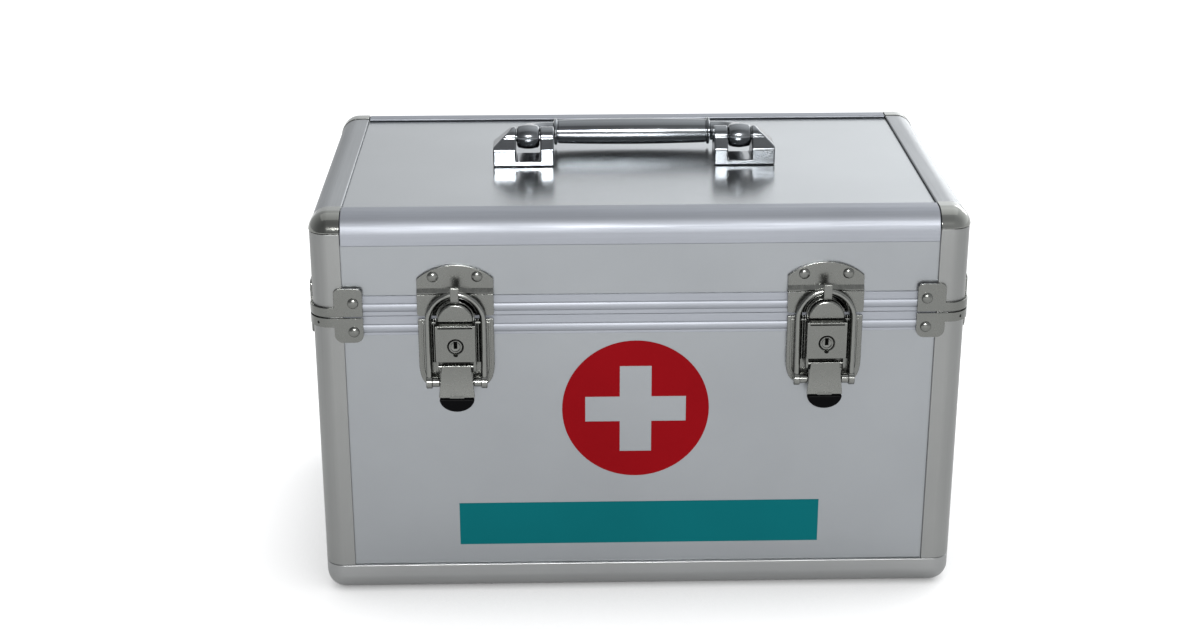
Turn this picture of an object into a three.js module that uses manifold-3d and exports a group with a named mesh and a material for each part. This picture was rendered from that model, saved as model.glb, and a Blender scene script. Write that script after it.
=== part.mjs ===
// Aluminium-framed first aid box: a base and a hinged lid of slide-in panels held by extruded
// corner rails, two draw latches with locks in front, two stop hinges behind and a drop handle on top.
// Millimetres, +Z up, front towards -Y. The origin is the centre of the bounding box's underside.
import * as THREE from "three";
import { mergeVertices } from "three/addons/utils/BufferGeometryUtils.js";
import { RoundedBoxGeometry } from "three/addons/geometries/RoundedBoxGeometry.js";
import Module from "manifold-3d";

const wasm = await Module();
wasm.setup();

// Case sizes, over the rails
const caseWidth = 320;
const caseDepth = 190;
const baseHeight = 151.15;
const lidHeight = 51.15;
const partingGap = 0.5;

// Corner rail section: a rounded outer wall, a hollow core and a channel for each panel
const railLeg = 15.3;
const railRadius = 9.5;
const railSkin = 1.3;
const railFlange = 1.2;
const railCoreWall = 1.2;
const channelDepth = 4.9;
const panelThickness = 3.6;
const slideClearance = 0.15;
const seamGap = 0.3;

// Corner caps stand a little proud of the rails
const capProud = 0.4;

// Rim mouldings along the parting line
const rimRecess = 0.8;
const rimBaseHeight = 9.7;
const rimLidHeight = 10.1;
const rimRibHeight = 4.4;
const ribFromBaseEdge = 6.3;
const ribFromLidEdge = 4.3;
const rimChannelDepth = 5.6;
const rimWeb = 1.2;
const tongueHeight = 4;
const tongueClearance = 0.4;

// Fittings seat on the case with this gap
const seatGap = 0.15;

// Domed rivet heads
const rivetRadius = 2.7;
const rivetRise = 1.4;
const rivetSunk = 0.6;

// Corner braces across the parting line
const braceThickness = 1.2;
const braceTabWidth = 14;
const braceTabFromSide = 11.1;
const braceBandHeight = 4.6;
const braceLidTabHeight = 14.4;
const braceBaseTabHeight = 12.6;
const braceTabCorner = 4;
const braceRivetFromTabEdge = 4.6;
const braceRivetFromParting = 7;

// Latches: place and pressed base plate
const latchFromSide = 70;
const latchPlateWidth = 36.8;
const latchPlateThickness = 1.3;
const latchPlateFromParting = 0.95;
const latchPlateLength = 35;
const latchPlateFootLength = 12;
const latchPlateFootWidth = 24;
const plateSkirt = 1.2;
const pressedGap = 0.2;

// Lock housing
const lockWidth = 19.3;
const lockLength = 19.3;
const lockFromParting = 0.65;
const lockProud = 10.9;
const lockWall = 1.2;
const lockEdge = 0.7;
const lockCorner = 1;
const domeThickness = 1.1;
const domeHookGap = 0.3;
const domeClearance = 0.4;

// Key plug
const plugFromLockBottom = 8;
const plugRadius = 3.3;
const plugClearance = 0.25;
const plugProud = 0.3;
const plugLength = 6.2;
const plugCamLength = 6.2;
const plugCamThickness = 1.3;
const plugCamWidth = 3;
const keySlotWidth = 1.2;
const keySlotLength = 4.8;
const keySlotDepth = 2.2;
const keyNotchRadius = 1;

// Lever and its pin
const leverPivotOut = 6.4;
const leverPivotDrop = 4;
const leverPinRadius = 1.1;
const leverPinClearance = 0.25;
const leverRollRadius = 2.4;
const leverThickness = 1.3;
const leverTopWidth = 14;
const leverEndWidth = 17.8;
const leverLength = 15.1;
const leverBow = 1.4;
const leverTongueWidth = 7;
const leverTongueLength = 3.9;
const leverCheekHalf = 8;
const leverCheekThickness = 1.2;
const leverCheekRadius = 3;
const cheekRadius = 3;

// Plastic lever tip
const tipWidth = 17.2;
const tipLength = 6.9;
const tipThickness = 3.3;
const tipEdge = 0.5;

// Wire bail
const bailPivotIn = 1.2;
const bailPivotDrop = 8.6;
const bailWireRadius = 1.5;
const bailHalf = 13.4;
const bailApexRise = 12.45;
const bailEyeRadius = 3.2;
const bailSleeveRadius = 2.4;
const bailStubReach = 2;
const bailPivotClearance = 0.3;

// Keeper and hook on the lid
const keeperWidth = 37.2;
const keeperThickness = 1.4;
const keeperShoulderRise = 19.2;
const keeperArch = 7;
const keeperPartingGap = 0.4;
const keeperRivetSpacing = 21.4;
const keeperRivetFromTop = 5.9;
const keeperStepFromRim = 2.5;
const keeperStepRise = 1.6;
const keeperCorner = 1.2;
const hookWidth = 4;
const hookRoot = 1.6;
const hookLip = 1.4;
const hookLipRise = 7.1;
const hookWireGap = 0.5;
const hookPlateGap = 0.6;
const hookSwing = 1.9;
const hookWindowWidth = 5.2;
const hookWindowHeight = 5;

// Stop hinges
const hingeFromSide = 70;
const hingeWidth = 38;
const hingeAxisOut = 3;
const hingePinRadius = 1.4;
const hingePinClearance = 0.2;
const hingePinSeat = 0.02;
const hingeKnuckleRadius = 2.8;
const hingeKnuckles = 5;
const hingeKnuckleGap = 0.3;
const hingeLeafThickness = 1.2;
const hingeLeafHeight = 29;
const hingeLeafCorner = 5;
const hingeRivetSpacing = 23;
const hingeRivetFromEnd = 7;
const hingeNoseRadius = 4.2;
const hingeNoseStart = -10;
const hingeNoseSpan = 36;
const hingeClearRise = 2.95;

// Drop handle
const handlePivotBehindCentre = -2;
const handleGripReach = 27.5;
const handleGripDrop = 5.1;
const handleGripGap = 0.2;
const handleGripRadius = 6.9;
const handleGripEndRadius = 6.3;
const handleGripEndFromArm = 11.85;
const handleCollarRadius = 7.1;
const handleCollarWidth = 2.6;
const handleCollarInset = 1.5;
const handleArmRadius = 5.3;
const handleArmHalf = 54.85;
const handleBendStart = 5;
const handleBendLength = 13;
const handleBendShoulder = 0.6;
const handleDrumRadius = 6.4;
const handleDrumCrown = 0.7;
const handleDrumWidth = 11.7;
const handlePinRadius = 2.5;
const handlePinClearance = 0.3;
const bracketInnerReach = 13.35;
const bracketOuterReach = 18.15;
const bracketHalfDepth = 8.5;
const bracketFloor = 2.8;
const bracketWallHeight = 8.5;
const bracketLugRadius = 5.2;
const bracketEndHeight = 9.8;
const bracketSlantReach = 8.15;
const bracketSideGap = 0.35;

// Facets
const arcSegments = 5;
const cornerSegments = 3;
const capSegments = 4;
const roundSegments = 18;
const smallRoundSegments = 12;
const domeRings = 3;
const bailSteps = 26;
const armSteps = 9;

// Points lie on a grid this fine, and points closer than this after a cut are one point
const gridPerMillimetre = 1000;
const mergeDistance = 0.002;

// Heights and offsets that follow from the sizes above
const partingHeight = baseHeight;
const caseHeight = baseHeight + lidHeight;
const channelFar = railSkin + panelThickness + 2 * slideClearance;
const railInner = channelFar + railFlange;
const channelBottom = railLeg - channelDepth;
const panelEdge = channelBottom + slideClearance;
const panelFace = railSkin + slideClearance;
const baseTop = partingHeight - partingGap / 2;
const lidBottom = partingHeight + partingGap / 2;
const rimBaseLip = baseTop - rimBaseHeight;
const rimLidLip = lidBottom + rimLidHeight;
const tongueTop = baseTop + tongueHeight;
const lidWebTop = tongueTop + partingGap;
const lidChannelFloor = lidWebTop + rimWeb;
const baseChannelRoof = rimBaseLip + rimChannelDepth;
const fittingSeat = -panelFace + seatGap;
const handleGripHalf = handleArmHalf - handleGripEndFromArm;
const handleGripHeight = caseHeight + handleCollarRadius + handleGripGap;
const handlePivotHeight = handleGripHeight + handleGripDrop;
const handleArmLength = Math.hypot(handleGripReach, handleGripDrop);
const handleLean = Math.atan2(handleGripDrop, handleGripReach);
const bracketInnerEnd = handleArmHalf - bracketInnerReach;
const bracketOuterEnd = handleArmHalf + bracketOuterReach;
const bracketSlantStart = handleArmHalf + bracketSlantReach;
const halfWidth = caseWidth / 2;
const halfDepth = caseDepth / 2;
const latchPlateFront = pressedGap + latchPlateThickness;
const latchPlateTop = partingHeight - latchPlateFromParting;
const latchPlateBottom = latchPlateTop - latchPlateLength;
const latchPlateStraightTo = latchPlateBottom + latchPlateFootLength;
const lockTop = partingHeight - lockFromParting;
const lockBottom = lockTop - lockLength;
const plugHeight = lockBottom + plugFromLockBottom;
const leverPivotHeight = lockBottom - leverPivotDrop;
const leverEndHeight = leverPivotHeight - leverLength;
const bailPivotOut = leverPivotOut - bailPivotIn;
const bailPivotHeight = leverPivotHeight - bailPivotDrop;
const bailApexHeight = partingHeight + bailApexRise;
const hookRootTop = bailApexHeight - bailWireRadius - hookWireGap;
const hookRootBottom = hookRootTop - hookRoot;
const hookTop = hookRootTop + hookLipRise;
const domeApex = hookRootBottom - domeHookGap;
const keeperShoulderHeight = partingHeight + keeperShoulderRise;
const keeperTop = keeperShoulderHeight + keeperArch;
const keeperRivetHeight = keeperTop - keeperRivetFromTop;
const keeperStepHeight = rimLidLip + keeperStepFromRim;
const frontReach = lockProud + plugProud;
const rearReach = hingeAxisOut + hingeNoseRadius;

// Materials
const satinAluminium = { color: 0xb4b6b9, roughness: 0.38, metalness: 0.9 };
const panelSilver = { color: 0xa6a9ad, roughness: 0.5, metalness: 0.7 };
const brightChrome = { color: 0xc9cac8, roughness: 0.12, metalness: 1 };
const nickelSteel = { color: 0x9a9b98, roughness: 0.28, metalness: 1 };
const blackPlastic = { color: 0x0d0d0f, roughness: 0.35, metalness: 0 };

const X = new THREE.Vector3(1, 0, 0);
const Y = new THREE.Vector3(0, 1, 0);
const Z = new THREE.Vector3(0, 0, 1);

// A closed geometry as a solid that can be joined and cut, its points on a fine grid so that
// faces meant to be flush are flush exactly.
function solid(geometry) {
  const bare = new THREE.BufferGeometry();
  bare.setAttribute("position", geometry.getAttribute("position").clone());
  if (geometry.index) bare.setIndex(geometry.index.clone());
  const merged = mergeVertices(bare, 1e-4);
  const onGrid = (value) => Math.round(value * gridPerMillimetre) / gridPerMillimetre;
  return new wasm.Manifold(
    new wasm.Mesh({
      numProp: 3,
      vertProperties: Float32Array.from(merged.attributes.position.array, onGrid),
      triVerts: new Uint32Array(merged.index.array),
    }),
  );
}

// A solid back as a geometry with flat facets.
function geometryOf(body) {
  const mesh = body.simplify(mergeDistance).getMesh();
  const geometry = new THREE.BufferGeometry();
  geometry.setAttribute("position", new THREE.BufferAttribute(mesh.vertProperties, 3));
  geometry.setIndex(new THREE.BufferAttribute(mesh.triVerts, 1));
  const faceted = geometry.toNonIndexed();
  faceted.computeVertexNormals();
  return faceted;
}

function join(...geometries) {
  return geometries.map(solid).reduce((whole, part) => whole.add(part));
}

function carve(body, ...tools) {
  return tools.map(solid).reduce((whole, tool) => whole.subtract(tool), body);
}

function piece(name, geometry, finish) {
  const material = new THREE.MeshStandardMaterial(finish);
  const mesh = new THREE.Mesh(geometry, material);
  mesh.name = name;
  return mesh;
}

// A block between two opposite corners.
function block(low, high) {
  const size = high.map((value, axis) => value - low[axis]);
  const middle = high.map((value, axis) => (value + low[axis]) / 2);
  return new THREE.BoxGeometry(...size).translate(...middle);
}

// A section extruded both ways from a middle point, its two axes pointing along a and b.
function moulding(shape, length, middle, a, b) {
  const geometry = new THREE.ExtrudeGeometry(shape, {
    depth: length,
    bevelEnabled: false,
    curveSegments: arcSegments,
  });
  geometry.translate(0, 0, -length / 2);
  const frame = new THREE.Matrix4().makeBasis(a, b, new THREE.Vector3().crossVectors(a, b));
  return geometry.applyMatrix4(frame.setPosition(middle));
}

// A face outline extruded outwards, from one distance in front of the face to another.
function pressed(shape, from, to, edge = 0) {
  const geometry = new THREE.ExtrudeGeometry(shape, {
    depth: to - from - edge,
    bevelEnabled: edge > 0,
    bevelSize: edge,
    bevelThickness: edge,
    bevelOffset: -edge,
    bevelSegments: 1,
    curveSegments: cornerSegments,
  });
  return geometry.translate(0, 0, from);
}

// A side profile drawn as (outward, up), extruded across the face about a middle.
function acrossFace(shape, width, middle = 0) {
  const geometry = new THREE.ExtrudeGeometry(shape, {
    depth: width,
    bevelEnabled: false,
    curveSegments: arcSegments,
  });
  geometry.translate(0, 0, -width / 2);
  geometry.applyMatrix4(new THREE.Matrix4().makeBasis(Z, Y, X.clone().negate()));
  return geometry.translate(middle, 0, 0);
}

// A round bar along X in a face's frame.
function crossBar(radius, from, to, height, out, segments = smallRoundSegments) {
  const bar = new THREE.CylinderGeometry(radius, radius, to - from, segments);
  return bar.rotateZ(Math.PI / 2).translate((from + to) / 2, height, out);
}

// A round bar that stands out of a face.
function standingBar(radius, x, height, from, to, segments = roundSegments) {
  const bar = new THREE.CylinderGeometry(radius, radius, to - from, segments);
  return bar.rotateX(Math.PI / 2).translate(x, height, (from + to) / 2);
}

function roundedRectangle(left, bottom, right, top, corner) {
  const shape = new THREE.Shape();
  shape.moveTo(left + corner, bottom);
  shape.lineTo(right - corner, bottom);
  shape.absarc(right - corner, bottom + corner, corner, -Math.PI / 2, 0);
  shape.lineTo(right, top - corner);
  shape.absarc(right - corner, top - corner, corner, 0, Math.PI / 2);
  shape.lineTo(left + corner, top);
  shape.absarc(left + corner, top - corner, corner, Math.PI / 2, Math.PI);
  shape.lineTo(left, bottom + corner);
  shape.absarc(left + corner, bottom + corner, corner, Math.PI, 1.5 * Math.PI);
  return shape;
}

// A domed rivet head whose flat underside is sunk in the plate that it holds.
function rivetHead(x, height, face) {
  const profile = [new THREE.Vector2(0, -rivetSunk), new THREE.Vector2(rivetRadius, -rivetSunk)];
  for (let i = 0; i < domeRings; i++) {
    const turn = ((i / domeRings) * Math.PI) / 2;
    profile.push(new THREE.Vector2(rivetRadius * Math.cos(turn), rivetRise * Math.sin(turn)));
  }
  profile.push(new THREE.Vector2(0, rivetRise));
  const head = new THREE.LatheGeometry(profile, smallRoundSegments);
  return head.rotateX(Math.PI / 2).translate(x, height, face);
}

// Corner rail section, drawn from the outer corner: both panels slide into it at right angles.
function railSection() {
  const shape = new THREE.Shape();
  shape.moveTo(railLeg, 0);
  shape.lineTo(railLeg, railSkin);
  shape.lineTo(channelBottom, railSkin);
  shape.lineTo(channelBottom, channelFar);
  shape.lineTo(railLeg, channelFar);
  shape.lineTo(railLeg, railInner);
  shape.lineTo(railInner, railInner);
  shape.lineTo(railInner, railLeg);
  shape.lineTo(channelFar, railLeg);
  shape.lineTo(channelFar, channelBottom);
  shape.lineTo(railSkin, channelBottom);
  shape.lineTo(railSkin, railLeg);
  shape.lineTo(0, railLeg);
  shape.lineTo(0, railRadius);
  shape.absarc(railRadius, railRadius, railRadius, Math.PI, 1.5 * Math.PI);
  const core = new THREE.Path();
  const coreEnd = channelBottom - railCoreWall;
  const coreRadius = railRadius - railCoreWall;
  core.moveTo(coreEnd, railCoreWall);
  core.lineTo(railRadius, railCoreWall);
  core.absarc(railRadius, railRadius, coreRadius, 1.5 * Math.PI, Math.PI, true);
  core.lineTo(railCoreWall, coreEnd);
  core.lineTo(channelFar, coreEnd);
  core.lineTo(channelFar, channelFar);
  core.lineTo(coreEnd, channelFar);
  core.closePath();
  shape.holes.push(core);
  return shape;
}

// The raised rib on a rim moulding, as points from its lower edge to its upper edge.
function ribPoints(middle) {
  const steps = 6;
  const points = [];
  for (let i = 0; i <= steps; i++) {
    const across = (2 * i) / steps - 1;
    const recess = rimRecess * across * across;
    points.push([recess, middle + (across * rimRibHeight) / 2]);
  }
  return points;
}

function polygon(points) {
  const shape = new THREE.Shape();
  points.forEach(([u, v], i) => (i ? shape.lineTo(u, v) : shape.moveTo(u, v)));
  shape.closePath();
  return shape;
}

// Base rim, drawn as (inward, up): it caps the panel and carries the tongue that the lid closes over.
function baseRimSection() {
  return polygon([
    [rimRecess, rimBaseLip],
    [railSkin, rimBaseLip],
    [railSkin, baseChannelRoof],
    [channelFar, baseChannelRoof],
    [channelFar, rimBaseLip],
    [railInner, rimBaseLip],
    [railInner, tongueTop],
    [channelFar, tongueTop],
    [channelFar, baseTop],
    [rimRecess, baseTop],
    ...ribPoints(baseTop - ribFromBaseEdge).reverse(),
  ]);
}

// Lid rim, drawn as (inward, up).
function lidRimSection() {
  const webFace = channelFar - tongueClearance;
  return polygon([
    [rimRecess, lidBottom],
    [webFace, lidBottom],
    [webFace, lidWebTop],
    [railInner, lidWebTop],
    [railInner, rimLidLip],
    [channelFar, rimLidLip],
    [channelFar, lidChannelFloor],
    [railSkin, lidChannelFloor],
    [railSkin, rimLidLip],
    [rimRecess, rimLidLip],
    ...ribPoints(lidBottom + ribFromLidEdge).reverse(),
  ]);
}

const sides = [
  { name: "front", inward: Y.clone(), reach: halfDepth, span: caseWidth },
  { name: "back", inward: Y.clone().negate(), reach: halfDepth, span: caseWidth },
  { name: "left", inward: X.clone(), reach: halfWidth, span: caseDepth },
  { name: "right", inward: X.clone().negate(), reach: halfWidth, span: caseDepth },
];

// A point on a side's outer plane, at its middle.
function onSide(side, height) {
  return side.inward.clone().multiplyScalar(-side.reach).setZ(height);
}

function topRail(name, side) {
  const length = side.span - 2 * (railLeg + slideClearance);
  const down = Z.clone().negate();
  return piece(
    name,
    moulding(railSection(), length, onSide(side, caseHeight), side.inward, down),
    satinAluminium,
  );
}

function rim(name, side, section) {
  const length = side.span - 2 * (railLeg + slideClearance);
  return piece(name, moulding(section, length, onSide(side, 0), side.inward, Z), satinAluminium);
}

const corners = [
  { name: "front_left", x: -1, y: -1 },
  { name: "front_right", x: 1, y: -1 },
  { name: "back_left", x: -1, y: 1 },
  { name: "back_right", x: 1, y: 1 },
];

function verticalRail(name, corner, low, high) {
  const middle = new THREE.Vector3(corner.x * halfWidth, corner.y * halfDepth, (low + high) / 2);
  const a = X.clone().multiplyScalar(-corner.x);
  const b = Y.clone().multiplyScalar(-corner.y);
  return piece(name, moulding(railSection(), high - low, middle, a, b), satinAluminium);
}

// The top caps' block: rounded all ways and a little proud of the rails.
function roundedCorner() {
  const span = 2 * (railLeg + capProud);
  const rounded = new RoundedBoxGeometry(span, span, span, capSegments, railRadius + capProud);
  rounded.translate(railLeg, railLeg, railLeg);
  const below = -capProud - 1;
  const octant = block([below, below, below], [railLeg, railLeg, railLeg]);
  return solid(rounded).intersect(solid(octant));
}

// Top corner cap, drawn from the outer corner inwards and then turned to its corner.
function topCap(name, corner) {
  const beyond = railLeg + 1;
  const body = carve(
    roundedCorner(),
    block([railInner, railInner, railInner], [beyond, beyond, beyond]),
    block([railSkin, channelBottom, channelBottom], [channelFar, beyond, beyond]),
    block([channelBottom, railSkin, channelBottom], [beyond, channelFar, beyond]),
    block([channelBottom, channelBottom, railSkin], [beyond, beyond, channelFar]),
  );
  const a = X.clone().multiplyScalar(-corner.x);
  const b = Y.clone().multiplyScalar(-corner.y);
  const c = Z.clone().negate();
  const rightHanded = new THREE.Vector3().crossVectors(a, b).dot(c) > 0;
  const frame = new THREE.Matrix4().makeBasis(rightHanded ? a : b, rightHanded ? b : a, c);
  frame.setPosition(corner.x * halfWidth, corner.y * halfDepth, caseHeight);
  return piece(name, geometryOf(body).applyMatrix4(frame), brightChrome);
}

// A block along a side, between two distances in from its outer plane.
function sideBlock(side, length, near, far, low, high) {
  const alongX = side.inward.x === 0;
  const sign = side.inward.x + side.inward.y;
  const bounds = [near, far].map((inset) => sign * (inset - side.reach)).sort((a, b) => a - b);
  const half = length / 2;
  return alongX
    ? block([-half, bounds[0], low], [half, bounds[1], high])
    : block([bounds[0], -half, low], [bounds[1], half, high]);
}

// A block with the same inset from all four sides.
function insetBlock(inset, low, high) {
  const x = halfWidth - inset;
  const y = halfDepth - inset;
  return block([-x, -y, low], [x, y, high]);
}

// Bottom rails and corners in one: the rail's section carried round the case, its corners rounded
// all ways and its channels open to the floor panel and the four side panels.
function bottomFrame() {
  const plan = roundedRectangle(-halfWidth, -halfDepth, halfWidth, halfDepth, railRadius);
  const fromFront = roundedRectangle(-halfWidth, 0, halfWidth, caseHeight, railRadius);
  const fromSide = roundedRectangle(-halfDepth, 0, halfDepth, caseHeight, railRadius);
  const middle = new THREE.Vector3(0, 0, railLeg / 2);
  const centre = new THREE.Vector3();
  const body = [
    moulding(plan, railLeg, middle, X, Y),
    moulding(fromFront, 2 * caseDepth, centre, X, Z),
    moulding(fromSide, 2 * caseWidth, centre, Y, Z),
  ]
    .map(solid)
    .reduce((whole, part) => whole.intersect(part));
  const beyond = railLeg + 1;
  const channels = sides.map((side) =>
    sideBlock(side, side.span - 2 * channelBottom, railSkin, channelFar, channelBottom, beyond),
  );
  const frame = carve(
    body,
    insetBlock(railInner, railInner, beyond),
    insetBlock(railLeg, -1, railInner + 1),
    insetBlock(channelBottom, railSkin, channelFar),
    ...channels,
  );
  return piece("bottom_frame", geometryOf(frame), satinAluminium);
}

// A side panel between two heights, its edges in the rail channels.
function sidePanel(name, side, low, high) {
  const length = side.span - 2 * panelEdge;
  const inner = panelFace + panelThickness;
  return piece(name, sideBlock(side, length, panelFace, inner, low, high), panelSilver);
}

function levelPanel(name, low) {
  return piece(name, insetBlock(panelEdge, low, low + panelThickness), panelSilver);
}

// Corner brace: a band round the rail at the parting line, with a riveted tab on each face.
function brace(name, corner, onLid) {
  const inner = seatGap;
  const outer = seatGap + braceThickness;
  const near = onLid ? lidBottom + seatGap : baseTop - seatGap;
  const up = onLid ? 1 : -1;
  const bandEnd = near + up * braceBandHeight;
  const tabEnd = near + up * (onLid ? braceLidTabHeight : braceBaseTabHeight);
  const bandLow = Math.min(near, bandEnd);
  const tabFrom = braceTabFromSide;
  const tabTo = braceTabFromSide + braceTabWidth;

  const band = new THREE.Shape();
  band.moveTo(tabTo - 1, -outer);
  band.lineTo(tabTo - 1, -inner);
  band.lineTo(railRadius, -inner);
  band.absarc(railRadius, railRadius, railRadius + inner, 1.5 * Math.PI, Math.PI, true);
  band.lineTo(-inner, tabTo - 1);
  band.lineTo(-outer, tabTo - 1);
  band.lineTo(-outer, railRadius);
  band.absarc(railRadius, railRadius, railRadius + outer, Math.PI, 1.5 * Math.PI);
  const bandSolid = new THREE.ExtrudeGeometry(band, {
    depth: braceBandHeight,
    bevelEnabled: false,
    curveSegments: arcSegments,
  }).translate(0, 0, bandLow);

  // the tab lies on the front face, its far end rounded and its end at the parting line square
  const tabShape = roundedRectangle(
    tabFrom,
    Math.min(near, tabEnd) - (onLid ? braceTabCorner : 0),
    tabTo,
    Math.max(near, tabEnd) + (onLid ? 0 : braceTabCorner),
    braceTabCorner,
  );
  const rivetX = tabTo - braceRivetFromTabEdge;
  const rivetZ = near + up * braceRivetFromParting;
  const overhang = braceTabCorner + 1;
  const trim = onLid
    ? block([tabFrom - 1, near - overhang, inner - 1], [tabTo + 1, near, outer + 1])
    : block([tabFrom - 1, near, inner - 1], [tabTo + 1, near + overhang, outer + 1]);
  const tab = geometryOf(
    carve(solid(pressed(tabShape, inner, outer)), trim).add(
      solid(rivetHead(rivetX, rivetZ, outer)),
    ),
  );
  const onFront = tab.clone().rotateX(Math.PI / 2);
  const onSideFace = onFront
    .clone()
    .applyMatrix4(new THREE.Matrix4().makeBasis(Y, X, Z));
  flipFaces(onSideFace);
  const whole = geometryOf(join(bandSolid, onFront, onSideFace));
  const a = X.clone().multiplyScalar(-corner.x);
  const b = Y.clone().multiplyScalar(-corner.y);
  const rightHanded = corner.x * corner.y > 0;
  const frame = new THREE.Matrix4().makeBasis(rightHanded ? a : b, rightHanded ? b : a, Z);
  frame.setPosition(corner.x * halfWidth, corner.y * halfDepth, 0);
  return piece(name, whole.applyMatrix4(frame), nickelSteel);
}

// Turns each face of a mirrored, unindexed geometry the right way round again.
function flipFaces(geometry) {
  const position = geometry.getAttribute("position");
  const second = new THREE.Vector3();
  const third = new THREE.Vector3();
  for (let i = 0; i < position.count; i += 3) {
    second.fromBufferAttribute(position, i + 1);
    third.fromBufferAttribute(position, i + 2);
    position.setXYZ(i + 1, third.x, third.y, third.z);
    position.setXYZ(i + 2, second.x, second.y, second.z);
  }
}

// Outline of the latch's base plate, drawn in by an inset: straight sides, then rounded in to a foot.
function latchPlateOutline(inset) {
  const half = latchPlateWidth / 2 - inset;
  const foot = latchPlateFootWidth / 2 - inset / 2;
  const bottom = latchPlateBottom + inset;
  const shape = new THREE.Shape();
  shape.moveTo(half, latchPlateTop - inset);
  shape.lineTo(-half, latchPlateTop - inset);
  shape.lineTo(-half, latchPlateStraightTo);
  shape.quadraticCurveTo(-half, bottom, -foot, bottom);
  shape.lineTo(foot, bottom);
  shape.quadraticCurveTo(half, bottom, half, latchPlateStraightTo);
  shape.closePath();
  return shape;
}

// A pressed plate that rides over the rim, with a skirt down to the panel beyond the rim's lip.
function skirtedPlate(outlineOf, thickness, keepLow, keepHigh) {
  const wide = 100;
  const plate = solid(pressed(outlineOf(0), pressedGap, pressedGap + thickness));
  const rimmed = carve(
    solid(pressed(outlineOf(0), fittingSeat, pressedGap + thickness / 2)),
    pressed(outlineOf(plateSkirt), fittingSeat - 1, pressedGap + thickness),
  );
  const zone = solid(block([-wide, keepLow, fittingSeat - 1], [wide, keepHigh, wide]));
  return plate.add(rimmed.intersect(zone));
}

// Side cheek of the lock housing, drawn as (outward, up): it carries the lever pin.
function cheekShape() {
  const shape = new THREE.Shape();
  const top = lockBottom + lockWall;
  shape.moveTo(leverPivotOut + cheekRadius, top);
  shape.lineTo(leverPivotOut - cheekRadius, top);
  shape.lineTo(leverPivotOut - cheekRadius, leverPivotHeight);
  shape.absarc(leverPivotOut, leverPivotHeight, cheekRadius, Math.PI, 2 * Math.PI);
  shape.closePath();
  return shape;
}

function latchBody(name) {
  const half = lockWidth / 2;
  const innerHalf = half - lockWall;
  const face = lockProud;
  const keeperFront = pressedGap + keeperThickness;
  const domeBack = keeperFront + domeClearance;

  const housing = roundedRectangle(-half, lockBottom, half, lockTop, lockCorner);
  const dome = new THREE.Shape();
  const domeRadius = half - lockWall / 3;
  dome.moveTo(-domeRadius, lockTop - lockWall);
  dome.lineTo(domeRadius, lockTop - lockWall);
  dome.lineTo(domeRadius, domeApex - domeRadius);
  dome.absarc(0, domeApex - domeRadius, domeRadius, 0, Math.PI);
  dome.closePath();

  const plate = skirtedPlate(
    latchPlateOutline,
    latchPlateThickness,
    0,
    rimBaseLip - pressedGap,
  );
  const outside = plate.add(
    join(
      pressed(housing, latchPlateFront - 0.1, face, lockEdge),
      pressed(dome, domeBack, domeBack + domeThickness),
    ),
  );
  const hollow = block(
    [-innerHalf, lockBottom + lockWall, latchPlateFront],
    [innerHalf, lockTop - lockWall, face - lockWall],
  );
  const keyHole = standingBar(plugRadius + plugClearance, 0, plugHeight, face - 2, face + 1);
  const notch = standingBar(
    keyNotchRadius,
    0,
    plugHeight - plugRadius - keyNotchRadius / 2,
    face - 2,
    face + 1,
    smallRoundSegments,
  );
  const shell = carve(outside, hollow, keyHole, notch);
  const cheekMiddle = half - lockWall / 2;
  return piece(
    name,
    geometryOf(
      shell.add(
        join(
          acrossFace(cheekShape(), lockWall, cheekMiddle),
          acrossFace(cheekShape(), lockWall, -cheekMiddle),
          crossBar(leverPinRadius, -half, half, leverPivotHeight, leverPivotOut),
        ),
      ),
    ),
    nickelSteel,
  );
}

function keyPlug(name) {
  const face = lockProud + plugProud;
  const back = face - plugLength;
  const camHalf = plugCamWidth / 2;
  const body = join(
    standingBar(plugRadius, 0, plugHeight, back, face),
    block(
      [-camHalf, plugHeight, back - plugCamThickness],
      [camHalf, plugHeight + plugCamLength, back + 0.1],
    ),
  );
  const slot = block(
    [-keySlotWidth / 2, plugHeight - keySlotLength / 2, face - keySlotDepth],
    [keySlotWidth / 2, plugHeight + keySlotLength / 2, face + 1],
  );
  return piece(name, geometryOf(carve(body, slot)), nickelSteel);
}

// Distance of the lever's front face from the case at its lower end.
const leverEndOut = leverPivotOut + leverRollRadius + leverBow;

// The lever's bowed plate, drawn as (outward, up) down to its tongue.
function leverPlateShape() {
  const rollFront = leverPivotOut + leverRollRadius;
  const tongueEnd = leverEndHeight - leverTongueLength;
  const bend = (leverPivotHeight + leverEndHeight) / 2;
  const shape = new THREE.Shape();
  shape.moveTo(rollFront, leverPivotHeight);
  shape.quadraticCurveTo(rollFront, bend, leverEndOut, leverEndHeight);
  shape.lineTo(leverEndOut, tongueEnd);
  shape.lineTo(leverEndOut - leverThickness, tongueEnd);
  shape.lineTo(leverEndOut - leverThickness, leverEndHeight);
  shape.quadraticCurveTo(
    rollFront - leverThickness,
    bend,
    rollFront - leverThickness,
    leverPivotHeight,
  );
  shape.closePath();
  return shape;
}

// The lever's front outline: a widening tail and the narrow tongue that the tip is moulded over.
function leverOutline() {
  const top = leverPivotHeight + leverRollRadius + 1;
  const tongue = leverTongueWidth / 2;
  return polygon([
    [leverTopWidth / 2, top],
    [-leverTopWidth / 2, top],
    [-leverEndWidth / 2, leverEndHeight],
    [-tongue, leverEndHeight],
    [-tongue, leverEndHeight - leverTongueLength - 1],
    [tongue, leverEndHeight - leverTongueLength - 1],
    [tongue, leverEndHeight],
    [leverEndWidth / 2, leverEndHeight],
  ]);
}

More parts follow.
